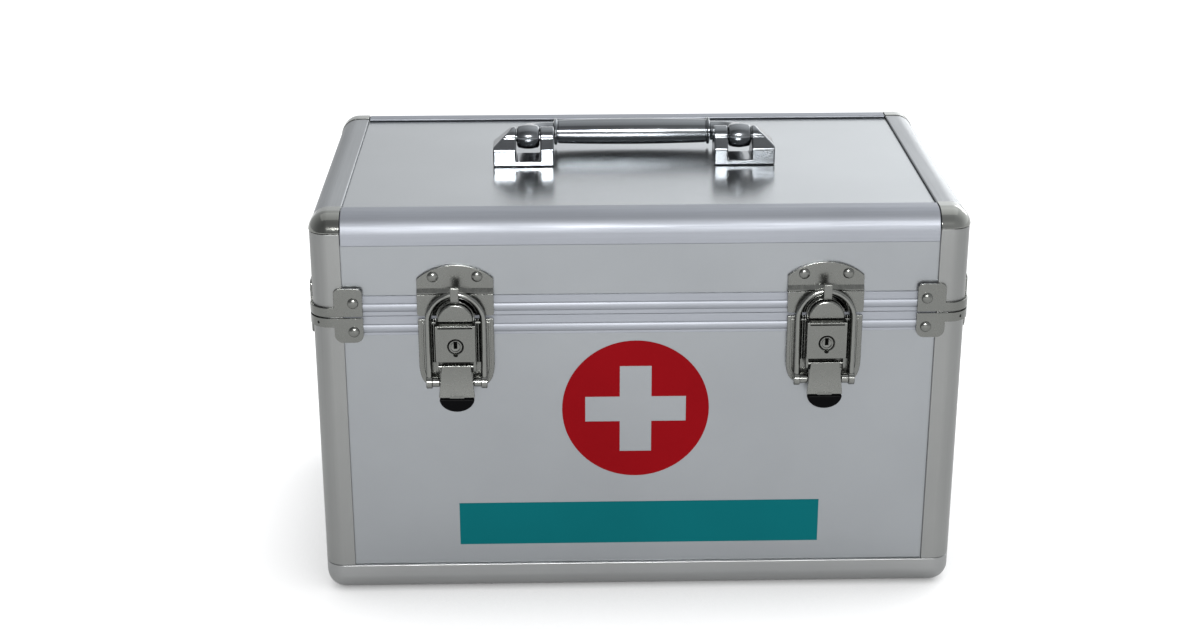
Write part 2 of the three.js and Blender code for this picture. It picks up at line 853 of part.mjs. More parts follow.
function leverCheekShape() {
  const plateBack = leverPivotOut + leverRollRadius - leverThickness / 2;
  const shape = new THREE.Shape();
  shape.moveTo(plateBack, bailPivotHeight + 2 * leverCheekRadius);
  shape.lineTo(bailPivotOut - leverCheekRadius, bailPivotHeight + leverCheekRadius / 2);
  shape.lineTo(bailPivotOut - leverCheekRadius, bailPivotHeight);
  shape.absarc(bailPivotOut, bailPivotHeight, leverCheekRadius, Math.PI, 1.5 * Math.PI);
  shape.lineTo(plateBack, bailPivotHeight - leverCheekRadius);
  shape.closePath();
  return shape;
}

function lever(name) {
  const rollHalf = leverTopWidth / 2;
  const tail = solid(acrossFace(leverPlateShape(), 2 * leverEndWidth)).intersect(
    solid(pressed(leverOutline(), -1, leverEndOut + 5)),
  );
  const cheekMiddle = leverCheekHalf - leverCheekThickness / 2;
  const body = tail.add(
    join(
      crossBar(
        leverRollRadius,
        -rollHalf,
        rollHalf,
        leverPivotHeight,
        leverPivotOut,
        roundSegments,
      ),
      acrossFace(leverCheekShape(), leverCheekThickness, cheekMiddle),
      acrossFace(leverCheekShape(), leverCheekThickness, -cheekMiddle),
    ),
  );
  const pinHole = leverPinRadius + leverPinClearance;
  const bailHole = bailWireRadius + bailPivotClearance;
  const through = leverEndWidth;
  return piece(
    name,
    geometryOf(
      carve(
        body,
        crossBar(pinHole, -through, through, leverPivotHeight, leverPivotOut),
        crossBar(bailHole, -through, through, bailPivotHeight, bailPivotOut),
      ),
    ),
    nickelSteel,
  );
}

// Half-round plastic tip with the slot that takes the lever's tongue.
function leverTip(name) {
  const top = leverEndHeight - seamGap;
  const outline = new THREE.Shape();
  outline.moveTo(tipWidth / 2, top);
  outline.absellipse(0, top, tipWidth / 2, tipLength, 2 * Math.PI, Math.PI, true);
  outline.closePath();
  const front = leverEndOut + (tipThickness - leverThickness) / 2;
  const back = front - tipThickness;
  const slot = block(
    [
      -leverTongueWidth / 2 - seamGap,
      leverEndHeight - leverTongueLength - seamGap,
      leverEndOut - leverThickness - seamGap,
    ],
    [leverTongueWidth / 2 + seamGap, top + 1, leverEndOut + seamGap],
  );
  return piece(
    name,
    geometryOf(carve(solid(pressed(outline, back, front, tipEdge)), slot)),
    blackPlastic,
  );
}

// Wire path of the bail: up one leg, round the arch and down the other, leaning in towards the hook.
class BailCurve extends THREE.Curve {
  getPoint(t, target = new THREE.Vector3()) {
    const leg = bailApexHeight - bailHalf - bailPivotHeight;
    const arch = Math.PI * bailHalf;
    const along = t * (2 * leg + arch);
    let x = -bailHalf;
    let height = bailPivotHeight + along;
    if (along > leg + arch) {
      x = bailHalf;
      height = bailPivotHeight + 2 * leg + arch - along;
    } else if (along > leg) {
      const turn = (along - leg) / bailHalf;
      x = -bailHalf * Math.cos(turn);
      height = bailPivotHeight + leg + bailHalf * Math.sin(turn);
    }
    const rise = (height - bailPivotHeight) / (bailApexHeight - bailPivotHeight);
    return target.set(x, height, bailPivotOut + rise * (bailApexOut - bailPivotOut));
  }
}

const keeperFrontOut = pressedGap + keeperThickness;
const bailApexOut = keeperFrontOut + hookPlateGap + bailWireRadius;

function bail(name) {
  const section = new THREE.Shape();
  section.absarc(0, 0, bailWireRadius, 0, 2 * Math.PI);
  const wire = new THREE.ExtrudeGeometry(section, {
    steps: bailSteps,
    curveSegments: 4,
    extrudePath: new BailCurve(),
  });
  const eyeInner = bailHalf - bailWireRadius;
  const eyeOuter = bailHalf + bailWireRadius;
  const sleeveInner = leverCheekHalf + bailPivotClearance;
  const stubInner = sleeveInner - bailStubReach;
  const ends = [-1, 1].flatMap((side) =>
    [
      [bailEyeRadius, eyeInner, eyeOuter],
      [bailSleeveRadius, sleeveInner, eyeInner + 0.2],
      [bailWireRadius, stubInner, sleeveInner + 0.2],
    ].map(([radius, from, to]) => {
      const low = Math.min(side * from, side * to);
      const high = Math.max(side * from, side * to);
      return crossBar(radius, low, high, bailPivotHeight, bailPivotOut);
    }),
  );
  return piece(name, geometryOf(join(wire, ...ends)), brightChrome);
}

// Keeper plate in section, drawn as (outward, up): it steps out from the panel over the rim.
function keeperSection() {
  const front = pressedGap + keeperThickness;
  const upperFront = fittingSeat + keeperThickness;
  const low = lidBottom + keeperPartingGap;
  const high = keeperTop + 1;
  const backStep = keeperStepHeight - keeperThickness / 2;
  return polygon([
    [pressedGap, low],
    [front, low],
    [front, keeperStepHeight],
    [upperFront, keeperStepHeight + keeperStepRise],
    [upperFront, high],
    [fittingSeat, high],
    [fittingSeat, backStep + keeperStepRise],
    [pressedGap, backStep],
  ]);
}

function keeperOutline() {
  const half = keeperWidth / 2;
  const rise = keeperTop - keeperShoulderHeight;
  const radius = (half * half + rise * rise) / (2 * rise);
  const centre = keeperTop - radius;
  const start = Math.atan2(keeperShoulderHeight - centre, half);
  const low = lidBottom + keeperPartingGap;
  const shape = new THREE.Shape();
  shape.moveTo(-half, low + keeperCorner);
  shape.absarc(-half + keeperCorner, low + keeperCorner, keeperCorner, Math.PI, 1.5 * Math.PI);
  shape.lineTo(half - keeperCorner, low);
  shape.absarc(half - keeperCorner, low + keeperCorner, keeperCorner, 1.5 * Math.PI, 2 * Math.PI);
  shape.lineTo(half, keeperShoulderHeight);
  shape.absarc(0, centre, radius, start, Math.PI - start);
  shape.closePath();
  return shape;
}

// The hook's side view, drawn as (outward, up): its root passes under the wire and its lip rises in front.
function hookShape() {
  const rootTop = hookRootTop;
  const rootBottom = hookRootBottom;
  const lipBack = bailApexOut + bailWireRadius + hookSwing;
  const lipFront = lipBack + hookLip;
  const bend = hookRoot + hookLip / 2;
  const tipRound = hookLip / 2;
  const shape = new THREE.Shape();
  shape.moveTo(pressedGap + keeperThickness / 2, rootBottom);
  shape.lineTo(lipFront - bend, rootBottom);
  shape.absarc(lipFront - bend, rootBottom + bend, bend, -Math.PI / 2, 0);
  shape.lineTo(lipFront, hookTop - tipRound);
  shape.absarc(lipFront - tipRound, hookTop - tipRound, tipRound, 0, Math.PI);
  shape.lineTo(lipBack, rootTop + hookLip / 2);
  shape.lineTo(lipBack - hookLip / 2, rootTop);
  shape.lineTo(pressedGap + keeperThickness / 2, rootTop);
  shape.closePath();
  return shape;
}

function keeper(name) {
  const plate = solid(acrossFace(keeperSection(), 2 * keeperWidth)).intersect(
    solid(pressed(keeperOutline(), fittingSeat - 1, keeperFrontOut + 1)),
  );
  const window = block(
    [-hookWindowWidth / 2, hookRootTop + hookWireGap, fittingSeat - 1],
    [hookWindowWidth / 2, hookRootTop + hookWireGap + hookWindowHeight, keeperFrontOut + 1],
  );
  const rivetX = keeperRivetSpacing / 2;
  const rivetFace = fittingSeat + keeperThickness;
  const body = carve(plate, window).add(
    join(
      acrossFace(hookShape(), hookWidth),
      rivetHead(-rivetX, keeperRivetHeight, rivetFace),
      rivetHead(rivetX, keeperRivetHeight, rivetFace),
    ),
  );
  return piece(name, geometryOf(body), nickelSteel);
}

// Outline of a hinge leaf, drawn in by an inset, from the parting line away from it.
function leafOutline(onLid) {
  return (inset) => {
    const half = hingeWidth / 2 - inset;
    const corner = hingeLeafCorner - inset;
    const near = onLid ? lidBottom : baseTop;
    const far = near + (onLid ? 1 : -1) * (hingeLeafHeight - inset);
    const low = Math.min(near, far);
    const high = Math.max(near, far);
    const shape = new THREE.Shape();
    if (onLid) {
      shape.moveTo(-half, low);
      shape.lineTo(half, low);
      shape.lineTo(half, high - corner);
      shape.absarc(half - corner, high - corner, corner, 0, Math.PI / 2);
      shape.absarc(-half + corner, high - corner, corner, Math.PI / 2, Math.PI);
    } else {
      shape.moveTo(half, high);
      shape.lineTo(-half, high);
      shape.lineTo(-half, low + corner);
      shape.absarc(-half + corner, low + corner, corner, Math.PI, 1.5 * Math.PI);
      shape.absarc(half - corner, low + corner, corner, 1.5 * Math.PI, 2 * Math.PI);
    }
    shape.closePath();
    return shape;
  };
}

// The stop nose on a lid knuckle, drawn as (outward, up): it meets the base leaf when the lid is open.
function noseShape() {
  const start = THREE.MathUtils.degToRad(hingeNoseStart);
  const end = THREE.MathUtils.degToRad(hingeNoseStart + hingeNoseSpan);
  const shape = new THREE.Shape();
  shape.absarc(hingeAxisOut, partingHeight, hingeNoseRadius, start, end);
  shape.absarc(
    hingeAxisOut,
    partingHeight,
    (hingeKnuckleRadius + hingePinRadius) / 2,
    end,
    start,
    true,
  );
  shape.closePath();
  return shape;
}

function hingeLeaf(name, onLid) {
  const keepLow = onLid ? rimLidLip + pressedGap : 0;
  const keepHigh = onLid ? caseHeight : rimBaseLip - pressedGap;
  let body = skirtedPlate(leafOutline(onLid), hingeLeafThickness, keepLow, keepHigh);
  const pitch = hingeWidth / hingeKnuckles;
  const bore = hingePinRadius + (onLid ? hingePinClearance : hingePinSeat);
  for (let i = 0; i < hingeKnuckles; i++) {
    const from = -hingeWidth / 2 + i * pitch + hingeKnuckleGap / 2;
    const to = from + pitch - hingeKnuckleGap;
    const mine = (i % 2 === 1) === onLid;
    if (mine) {
      const knuckle = join(
        crossBar(hingeKnuckleRadius, from, to, partingHeight, hingeAxisOut, roundSegments),
      );
      body = body.add(knuckle);
      if (onLid) body = body.add(solid(acrossFace(noseShape(), to - from, (from + to) / 2)));
    } else {
      const low = onLid ? 0 : partingHeight - hingeClearRise;
      const high = onLid ? partingHeight + hingeClearRise : caseHeight;
      const margin = hingeKnuckleGap;
      body = carve(body, block([from - margin, low, -1], [to + margin, high, hingeAxisOut]));
    }
  }
  const end = hingeWidth / 2;
  body = carve(body, crossBar(bore, -end, end, partingHeight, hingeAxisOut));
  const far = onLid ? lidBottom + hingeLeafHeight : baseTop - hingeLeafHeight;
  const rivetZ = far + (onLid ? -hingeRivetFromEnd : hingeRivetFromEnd);
  const face = pressedGap + hingeLeafThickness;
  const rivets = [-1, 1].map((side) =>
    rivetHead((side * hingeRivetSpacing) / 2, rivetZ, face),
  );
  return piece(name, geometryOf(body.add(join(...rivets))), nickelSteel);
}

function hingePin(name) {
  const end = hingeWidth / 2 - hingeKnuckleGap / 2;
  return piece(
    name,
    geometryOf(join(crossBar(hingePinRadius, -end, end, partingHeight, hingeAxisOut))),
    nickelSteel,
  );
}

const lidPanelTop = caseHeight - panelFace;
const handleSeat = lidPanelTop + seatGap;

// Handle bracket for the left side, in a frame whose origin is under the pivot line.
function handleBracket(name) {
  const rise = handlePivotHeight - handleSeat;
  const hump = new THREE.Shape();
  hump.moveTo(-bracketHalfDepth, 0);
  hump.lineTo(bracketHalfDepth, 0);
  hump.lineTo(bracketHalfDepth, bracketWallHeight);
  hump.absarc(0, rise, bracketLugRadius, 0, Math.PI);
  hump.lineTo(-bracketHalfDepth, bracketWallHeight);
  hump.closePath();
  const length = bracketOuterEnd - bracketInnerEnd;
  const middle = new THREE.Vector3(-(bracketInnerEnd + bracketOuterEnd) / 2, 0, 0);
  const block1 = solid(moulding(hump, length, middle, Y, Z));

  const top = rise + bracketLugRadius;
  const silhouette = polygon([
    [-bracketInnerEnd, -1],
    [-bracketInnerEnd, top + 1],
    [-bracketSlantStart, top + 1],
    [-bracketSlantStart, top],
    [-bracketOuterEnd, bracketEndHeight],
    [-bracketOuterEnd, -1],
  ]);
  const side = moulding(silhouette, 4 * bracketHalfDepth, new THREE.Vector3(), X, Z);
  const drumHalf = handleDrumWidth / 2 + bracketSideGap;
  const gap = block(
    [-handleArmHalf - drumHalf, -2 * bracketHalfDepth, bracketFloor],
    [-handleArmHalf + drumHalf, 2 * bracketHalfDepth, 2 * top],
  );
  const pinFrom = -handleArmHalf - drumHalf - 3;
  const pinTo = -handleArmHalf + drumHalf + 3;
  const pin = crossBar(handlePinRadius, pinFrom, pinTo, 0, 0).translate(0, 0, rise);
  const body = carve(block1.intersect(solid(side)), gap).add(solid(pin));
  return piece(name, geometryOf(body), brightChrome);
}

// The grip and its arms in one plane, with the pivot line at the origin
function handleGrip(name) {
  const end = handleGripHalf;
  const collarFrom = end - handleCollarInset - handleCollarWidth;
  const profile = [new THREE.Vector2(0, -end)];
  const halfProfile = [];
  const steps = 5;
  for (let i = 0; i <= steps; i++) {
    const share = i / steps;
    const radius = handleGripRadius - (handleGripRadius - handleGripEndRadius) * share * share;
    halfProfile.push([radius, share * collarFrom]);
  }
  halfProfile.push([handleCollarRadius, collarFrom]);
  halfProfile.push([handleCollarRadius, collarFrom + handleCollarWidth]);
  halfProfile.push([handleArmRadius, collarFrom + handleCollarWidth]);
  halfProfile.push([handleArmRadius, end]);
  for (let i = halfProfile.length - 1; i > 0; i--)
    profile.push(new THREE.Vector2(halfProfile[i][0], -halfProfile[i][1]));
  halfProfile.forEach(([radius, along]) => profile.push(new THREE.Vector2(radius, along)));
  profile.push(new THREE.Vector2(0, end));
  const grip = new THREE.LatheGeometry(profile, roundSegments)
    .rotateZ(-Math.PI / 2)
    .translate(0, handleArmLength, 0);

  const armSection = new THREE.Shape();
  armSection.absarc(0, 0, handleArmRadius, 0, 2 * Math.PI);
  const parts = [grip];
  const bores = [];
  for (const side of [-1, 1]) {
    const path = new THREE.CatmullRomCurve3(
      [
        [end - handleCollarInset, 0],
        [handleArmHalf - handleBendStart, handleBendShoulder],
        [handleArmHalf - handleBendShoulder, handleBendLength / 2],
        [handleArmHalf, handleBendLength],
        [handleArmHalf, handleArmLength],
      ].map(([across, back]) => new THREE.Vector3(side * across, handleArmLength - back, 0)),
    );
    parts.push(
      new THREE.ExtrudeGeometry(armSection, { steps: armSteps, curveSegments: 6, extrudePath: path }),
    );
    const half = handleDrumWidth / 2;
    const drumProfile = [new THREE.Vector2(0, -half)];
    for (let i = 0; i <= 6; i++) {
      const across = i / 3 - 1;
      const radius = handleDrumRadius - handleDrumCrown * across * across;
      drumProfile.push(new THREE.Vector2(radius, across * half));
    }
    drumProfile.push(new THREE.Vector2(0, half));
    parts.push(
      new THREE.LatheGeometry(drumProfile, roundSegments)
        .rotateZ(-Math.PI / 2)
        .translate(side * handleArmHalf, 0, 0),
    );
    const bore = handlePinRadius + handlePinClearance;
    const middle = side * handleArmHalf;
    bores.push(crossBar(bore, middle - handleDrumWidth, middle + handleDrumWidth, 0, 0));
  }
  return piece(name, geometryOf(carve(join(...parts), ...bores)), brightChrome);
}

// The base half
const base = new THREE.Group();
const baseLow = railLeg + slideClearance;
base.add(bottomFrame());
base.add(levelPanel("bottom_panel", panelFace));
for (const side of sides) {
  const low = panelEdge;
  const high = baseChannelRoof - slideClearance;
  base.add(sidePanel(`base_panel_${side.name}`, side, low, high));
  base.add(rim(`base_rim_${side.name}`, side, baseRimSection()));
}
for (const corner of corners)
  base.add(verticalRail(`base_rail_${corner.name}`, corner, baseLow, baseTop));

// The lid half
const lid = new THREE.Group();
const lidHigh = caseHeight - railLeg - slideClearance;
lid.add(levelPanel("top_panel", lidPanelTop - panelThickness));
for (const side of sides) {
  const low = lidChannelFloor + slideClearance;
  const high = caseHeight - panelEdge;
  lid.add(sidePanel(`lid_panel_${side.name}`, side, low, high));
  lid.add(rim(`lid_rim_${side.name}`, side, lidRimSection()));
  lid.add(topRail(`top_rail_${side.name}`, side));
}
for (const corner of corners) {
  lid.add(verticalRail(`lid_rail_${corner.name}`, corner, lidBottom, lidHigh));
  lid.add(topCap(`top_cap_${corner.name}`, corner));
}

// Corner braces on the two front corners
for (const corner of corners.filter((each) => each.y < 0)) {
  base.add(brace(`base_brace_${corner.name}`, corner, false));
  lid.add(brace(`lid_brace_${corner.name}`, corner, true));
}

// Latches, each in the front face's own frame: X across, Y up, Z outwards
for (const [name, sign] of [
  ["left", -1],
  ["right", 1],
]) {
  const latch = new THREE.Group();
  latch.position.set(sign * (halfWidth - latchFromSide), -halfDepth, 0);
  latch.rotation.x = Math.PI / 2;
  latch.add(latchBody(`latch_body_${name}`));
  latch.add(keyPlug(`key_plug_${name}`));
  latch.add(lever(`latch_lever_${name}`));
  latch.add(leverTip(`lever_tip_${name}`));
  latch.add(bail(`latch_bail_${name}`));
  latch.add(keeper(`latch_keeper_${name}`));
  base.add(latch);
}

// Hinges, each in the rear face's own frame
for (const [name, sign] of [
  ["left", -1],
  ["right", 1],
]) {
  const hinge = new THREE.Group();
  hinge.position.set(sign * (halfWidth - hingeFromSide), halfDepth, 0);
  hinge.rotation.set(Math.PI / 2, 0, Math.PI, "ZXY");
  hinge.add(hingeLeaf(`hinge_base_leaf_${name}`, false));
  hinge.add(hingeLeaf(`hinge_lid_leaf_${name}`, true));
  hinge.add(hingePin(`hinge_pin_${name}`));
  base.add(hinge);
}

// Handle
const handle = new THREE.Group();
handle.position.set(0, handlePivotBehindCentre, handleSeat);
const rightBracket = handleBracket("handle_bracket_right");
rightBracket.rotation.z = Math.PI;
handle.add(handleBracket("handle_bracket_left"), rightBracket);
const grip = handleGrip("handle_grip");
grip.position.z = handlePivotHeight - handleSeat;
grip.rotation.x = -handleLean;
handle.add(grip);
lid.add(handle);

const firstAidBox = new THREE.Group();
firstAidBox.add(base, lid);
firstAidBox.position.set(0, (frontReach - rearReach) / 2, 0);

export default firstAidBox;
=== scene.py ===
"""Looks of the aluminium-framed first aid box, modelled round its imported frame.

All sizes in the classes are millimetres in the case's own coordinates: x across, y to the back
from the middle of the case, z up from the floor.
"""

import logging
import math
from dataclasses import dataclass, field
from enum import Enum
from typing import Callable, Iterable, Sequence

import bpy
from mathutils import Euler, Matrix, Vector


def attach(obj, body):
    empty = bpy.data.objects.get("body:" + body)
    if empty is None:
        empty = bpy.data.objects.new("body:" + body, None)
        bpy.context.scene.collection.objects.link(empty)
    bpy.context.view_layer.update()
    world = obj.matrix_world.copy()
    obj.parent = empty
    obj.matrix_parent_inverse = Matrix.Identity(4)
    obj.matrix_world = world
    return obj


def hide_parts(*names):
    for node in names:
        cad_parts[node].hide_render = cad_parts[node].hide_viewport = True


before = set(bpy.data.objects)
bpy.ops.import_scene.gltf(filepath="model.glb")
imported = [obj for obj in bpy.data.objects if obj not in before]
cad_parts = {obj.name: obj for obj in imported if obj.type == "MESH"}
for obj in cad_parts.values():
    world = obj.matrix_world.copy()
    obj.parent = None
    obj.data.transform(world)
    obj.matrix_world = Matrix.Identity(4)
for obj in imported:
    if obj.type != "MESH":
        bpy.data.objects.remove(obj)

LOG = logging.getLogger("first_aid_box")
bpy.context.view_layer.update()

MM = 0.001
ROW_SHIFT_Y = 2.0
WIDTH = 320.0
DEPTH = 190.0
HEIGHT = 202.3
PARTING = 151.15
PARTING_GAP = 0.5
PANEL_FACE = 1.45
CAP_DROP = 8.6

Point = tuple[float, float, float]
Flat = tuple[float, float]
Shape = bpy.types.Object
Tree = bpy.types.NodeTree
Socket = bpy.types.NodeSocket


def at(x: float, y: float, z: float) -> Vector:
    """A point of the case, given in millimetres, in the row frame in metres."""
    return Vector((x, y + ROW_SHIFT_Y, z)) * MM


# the bench: operators, one object at a time


def clear_selection() -> None:
    """Leaves every mode and selects nothing."""
    if bpy.context.object and bpy.context.object.mode != "OBJECT":
        bpy.ops.object.mode_set(mode="OBJECT")
    bpy.ops.object.select_all(action="DESELECT")


def take(*pieces: Shape) -> None:
    """Selects the pieces and makes the first one active.

    Args:
        pieces: The objects to work on.
    """
    clear_selection()
    for piece in pieces:
        piece.select_set(True)
    bpy.context.view_layer.objects.active = pieces[0]


def edit(piece: Shape, mode: str = "VERT") -> None:
    """Opens a piece in edit mode with all of it selected.

    Args:
        piece: The object to edit.
        mode: Which elements are picked: VERT, EDGE or FACE.
    """
    take(piece)
    bpy.ops.object.mode_set(mode="EDIT")
    bpy.ops.mesh.select_mode(type=mode)
    bpy.ops.mesh.select_all(action="SELECT")


def close_edit() -> None:
    """Goes back to object mode."""
    bpy.ops.object.mode_set(mode="OBJECT")


def close_solid(weld: bool = False) -> None:
    """Turns all faces outwards and goes back to object mode.

    Args:
        weld: Whether points that lie together are merged first.
    """
    bpy.ops.mesh.select_all(action="SELECT")
    if weld:
        bpy.ops.mesh.remove_doubles(threshold=2e-6)
    bpy.ops.mesh.normals_make_consistent(inside=False)
    close_edit()


def draw_line(name: str, points: Sequence[Vector]) -> Shape:
    """Draws a chain of edges by extruding one vertex from point to point.

    Args:
        name: The new object's name.
        points: The points in metres.

    Returns:
        The object that holds the chain.
    """
    clear_selection()
    bpy.ops.mesh.primitive_plane_add(size=MM, location=(0, 0, 0))
    piece = bpy.context.object
    piece.name = name
    edit(piece)
    bpy.ops.mesh.merge(type="CENTER")
    bpy.ops.mesh.select_all(action="SELECT")
    bpy.ops.transform.translate(value=points[0])
    for before, after in zip(points, points[1:]):
        bpy.ops.mesh.extrude_region_move(TRANSFORM_OT_translate={"value": after - before})
    close_edit()
    return piece


def prism(name: str, points: Sequence[Vector], along: Point) -> Shape:
    """Fills an outline and extrudes it.

    Args:
        name: The new object's name.
        points: The outline in metres, in order, without the first point again.
        along: The extrusion in millimetres.

    Returns:
        The closed solid.
    """
    piece = draw_line(name, points)
    edit(piece)
    bpy.ops.mesh.edge_face_add()
    step = [part * MM for part in along]
    bpy.ops.mesh.extrude_region_move(TRANSFORM_OT_translate={"value": step})
    close_solid()
    return piece


def turned(
    name: str, profile: Sequence[Vector], centre: Vector, axis: Point, steps: int = 28
) -> Shape:
    """Turns a profile whose ends lie on the axis, as on a lathe.

    Args:
        name: The new object's name.
        profile: The profile in metres.
        centre: A point on the axis.
        axis: The axis direction.
        steps: Facets round the axis.

    Returns:
        The closed turned solid.
    """
    piece = draw_line(name, profile)
    edit(piece)
    bpy.ops.mesh.spin(steps=steps, angle=2 * math.pi, center=centre, axis=axis)
    close_solid(weld=True)
    return piece


def bent_rod(name: str, points: Sequence[Vector], radius: float, sides: int) -> Shape:
    """Gives a drawn line a round section.

    Args:
        name: The new object's name.
        points: The centre line in metres.
        radius: The rod's radius in millimetres.
        sides: The bevel resolution of the round section.

    Returns:
        The rod as a mesh.
    """
    piece = draw_line(name, points)
    take(piece)
    bpy.ops.object.convert(target="CURVE")
    piece = bpy.context.object
    piece.data.bevel_depth = radius * MM
    piece.data.bevel_resolution = sides
    piece.data.use_fill_caps = True
    bpy.ops.object.convert(target="MESH")
    piece = bpy.context.object
    edit(piece)
    close_solid(weld=True)
    return piece


def apply_modifier(piece: Shape, kind: str, **settings: object) -> None:
    """Adds a modifier with settings and applies it.

    Args:
        piece: The object to change.
        kind: The modifier's type.
        settings: Its properties.
    """
    take(piece)
    modifier = piece.modifiers.new(kind.lower(), kind)
    for key, value in settings.items():
        setattr(modifier, key, value)
    bpy.ops.object.modifier_apply(modifier=modifier.name)


def soften(piece: Shape, width: float, segments: int = 2, angle: float = 50.0) -> None:
    """Rounds a piece's edges.

    Args:
        piece: The object to change.
        width: The round's width in millimetres.
        segments: Facets across the round.
        angle: Only edges sharper than this, in degrees, are rounded.
    """
    apply_modifier(
        piece,
        "BEVEL",
        width=width * MM,
        segments=segments,
        limit_method="ANGLE",
        angle_limit=math.radians(angle),
        miter_outer="MITER_ARC",
    )


def cut(piece: Shape, *tools: Shape) -> None:
    """Cuts tools out of a piece and throws the tools away.

    Args:
        piece: The object to cut.
        tools: Closed solids.
    """
    for tool in tools:
        apply_modifier(piece, "BOOLEAN", object=tool, operation="DIFFERENCE", solver="EXACT")
        bpy.data.objects.remove(tool)


def unite(piece: Shape, *others: Shape) -> None:
    """Melts other solids into a piece, so that no face is left inside.

    Args:
        piece: The object that takes them in.
        others: Closed solids.
    """
    for other in others:
        apply_modifier(piece, "BOOLEAN", object=other, operation="UNION", solver="EXACT")
        bpy.data.objects.remove(other)


def put_together(name: str, *parts: Shape) -> Shape:
    """Makes one object of several.

    Args:
        name: The joined object's name.
        parts: The objects to join.

    Returns:
        The joined object.
    """
    take(*parts)
    bpy.ops.object.join()
    bpy.context.object.name = name
    return bpy.context.object


def block(name: str, low: Point, high: Point) -> Shape:
    """A box between two corners, in the case's millimetres, as a start or a cutter.

    Args:
        name: The new object's name.
        low: The lowest corner.
        high: The highest corner.

    Returns:
        The box.
    """
    clear_selection()
    middle = at(*((a + b) / 2 for a, b in zip(low, high)))
    bpy.ops.mesh.primitive_cube_add(size=1, location=(0, 0, 0))
    piece = bpy.context.object
    piece.name = name
    edit(piece)
    bpy.ops.transform.resize(value=[(b - a) * MM for a, b in zip(low, high)])
    bpy.ops.transform.translate(value=middle)
    close_edit()
    return piece


def slice_off(piece: Shape, point: Vector, normal: Point) -> None:
    """Cuts off what lies beyond a plane and closes the cut.

    Args:
        piece: The object to cut.
        point: A point on the plane.
        normal: The direction in which the material goes.
    """
    edit(piece)
    bpy.ops.mesh.bisect(plane_co=point, plane_no=normal, use_fill=True, clear_outer=True)
    close_edit()


def copy_of(piece: Shape, name: str, mirror: Point = (1, 1, 1), move: Point = (0, 0, 0)) -> Shape:
    """Copies a piece with its own mesh, mirrored about the case's middle planes or moved.

    Args:
        piece: The object to copy.
        name: The copy's name.
        mirror: -1 along each axis to mirror.
        move: The copy's shift in millimetres.

    Returns:
        The copy, its place in its mesh.
    """
    take(piece)
    bpy.ops.object.duplicate()
    twin = bpy.context.object
    twin.name = name
    edit(twin)
    bpy.ops.transform.resize(value=mirror, center_override=at(0, 0, 0))
    bpy.ops.transform.translate(value=[step * MM for step in move])
    close_solid()
    return twin


def arc(centre: Flat, radius: float, start: float, end: float, steps: int) -> list[Flat]:
    """Points on an arc, ends included.

    Args:
        centre: The centre.
        radius: The radius.
        start: The first angle in degrees.
        end: The last angle in degrees.
        steps: Facets along the arc.

    Returns:
        The points in order.
    """
    turns = [math.radians(start + (end - start) * i / steps) for i in range(steps + 1)]
    return [(centre[0] + radius * math.cos(t), centre[1] + radius * math.sin(t)) for t in turns]


def mirrored(points: Sequence[Flat]) -> list[Flat]:
    """Points followed by their mirror image on the other side, in one round."""
    return [*points, *[(-a, b) for a, b in reversed(points)]]


def bow(start: Flat, bend: Flat, end: Flat, steps: int = 12) -> list[Flat]:
    """Points on a curve that leaves towards a bend point and arrives from it.

    Args:
        start: The first point.
        bend: The point that pulls the curve.
        end: The last point.
        steps: Facets along the curve.

    Returns:
        The points in order.
    """
    points = []
    for i in range(steps + 1):
        t = i / steps
        shares = ((1 - t) ** 2, 2 * t * (1 - t), t * t)
        points.append(
            tuple(sum(s * p[k] for s, p in zip(shares, (start, bend, end))) for k in (0, 1))
        )
    return points


# finishes


class Grain(Enum):
    """The way that a metal was drawn or brushed: how its marks stretch along each axis."""

    EVEN = (1.0, 1.0, 1.0)
    ACROSS = (0.02, 1.0, 1.0)
    DEEP = (1.0, 0.02, 1.0)
    UPRIGHT = (1.0, 1.0, 0.02)


def linear(colour: Point) -> tuple[float, float, float, float]:
    """A written colour, 0 to 255, as linear light.

    Args:
        colour: Red, green and blue.

    Returns:
        The colour with full alpha.
    """
    parts = []
    for value in colour:
        share = value / 255
        parts.append(share / 12.92 if share <= 0.04045 else ((share + 0.055) / 1.055) ** 2.4)
    return (parts[0], parts[1], parts[2], 1.0)


def feed(tree: Tree, node: bpy.types.Node, sockets: dict) -> None:
    """Sets a node's inputs.

    Args:
        tree: The node tree.
        node: The node.
        sockets: What each input gets: a value, or the output that feeds it.
    """
    for key, value in sockets.items():
        if isinstance(value, Socket):
            tree.links.new(value, node.inputs[key])
        else:
            node.inputs[key].default_value = value


def add_node(tree: Tree, kind: str, sockets: dict, **settings: object) -> bpy.types.Node:
    """Adds a shader node with its inputs.

    Args:
        tree: The node tree.
        kind: The node's type, without ShaderNode in front.
        sockets: What each input gets: a value, or the output that feeds it.
        settings: The node's own properties.

    Returns:
        The node.
    """
    node = tree.nodes.new(f"ShaderNode{kind}")
    for key, value in settings.items():
        setattr(node, key, value)
    feed(tree, node, sockets)
    return node


def multiply(tree: Tree, first: Socket, second: Socket | float) -> Socket:
    """Multiplies a shader value by another or by a number."""
    return add_node(tree, "Math", {0: first, 1: second}, operation="MULTIPLY").outputs["Value"]


def map_range(tree: Tree, value: Socket, source: Flat, target: Flat, **settings: str) -> Socket:
    """Stretches a shader value from one range to another.

    Args:
        tree: The node tree.
        value: The output to stretch.
        source: The lowest and highest value that come in.
        target: What goes out for them.
        settings: The node's own properties.

    Returns:
        The stretched output.
    """
    keys = ("From Min", "From Max", "To Min", "To Max")
    sockets = {"Value": value, **dict(zip(keys, (*source, *target)))}
    return add_node(tree, "MapRange", sockets, **settings).outputs["Result"]


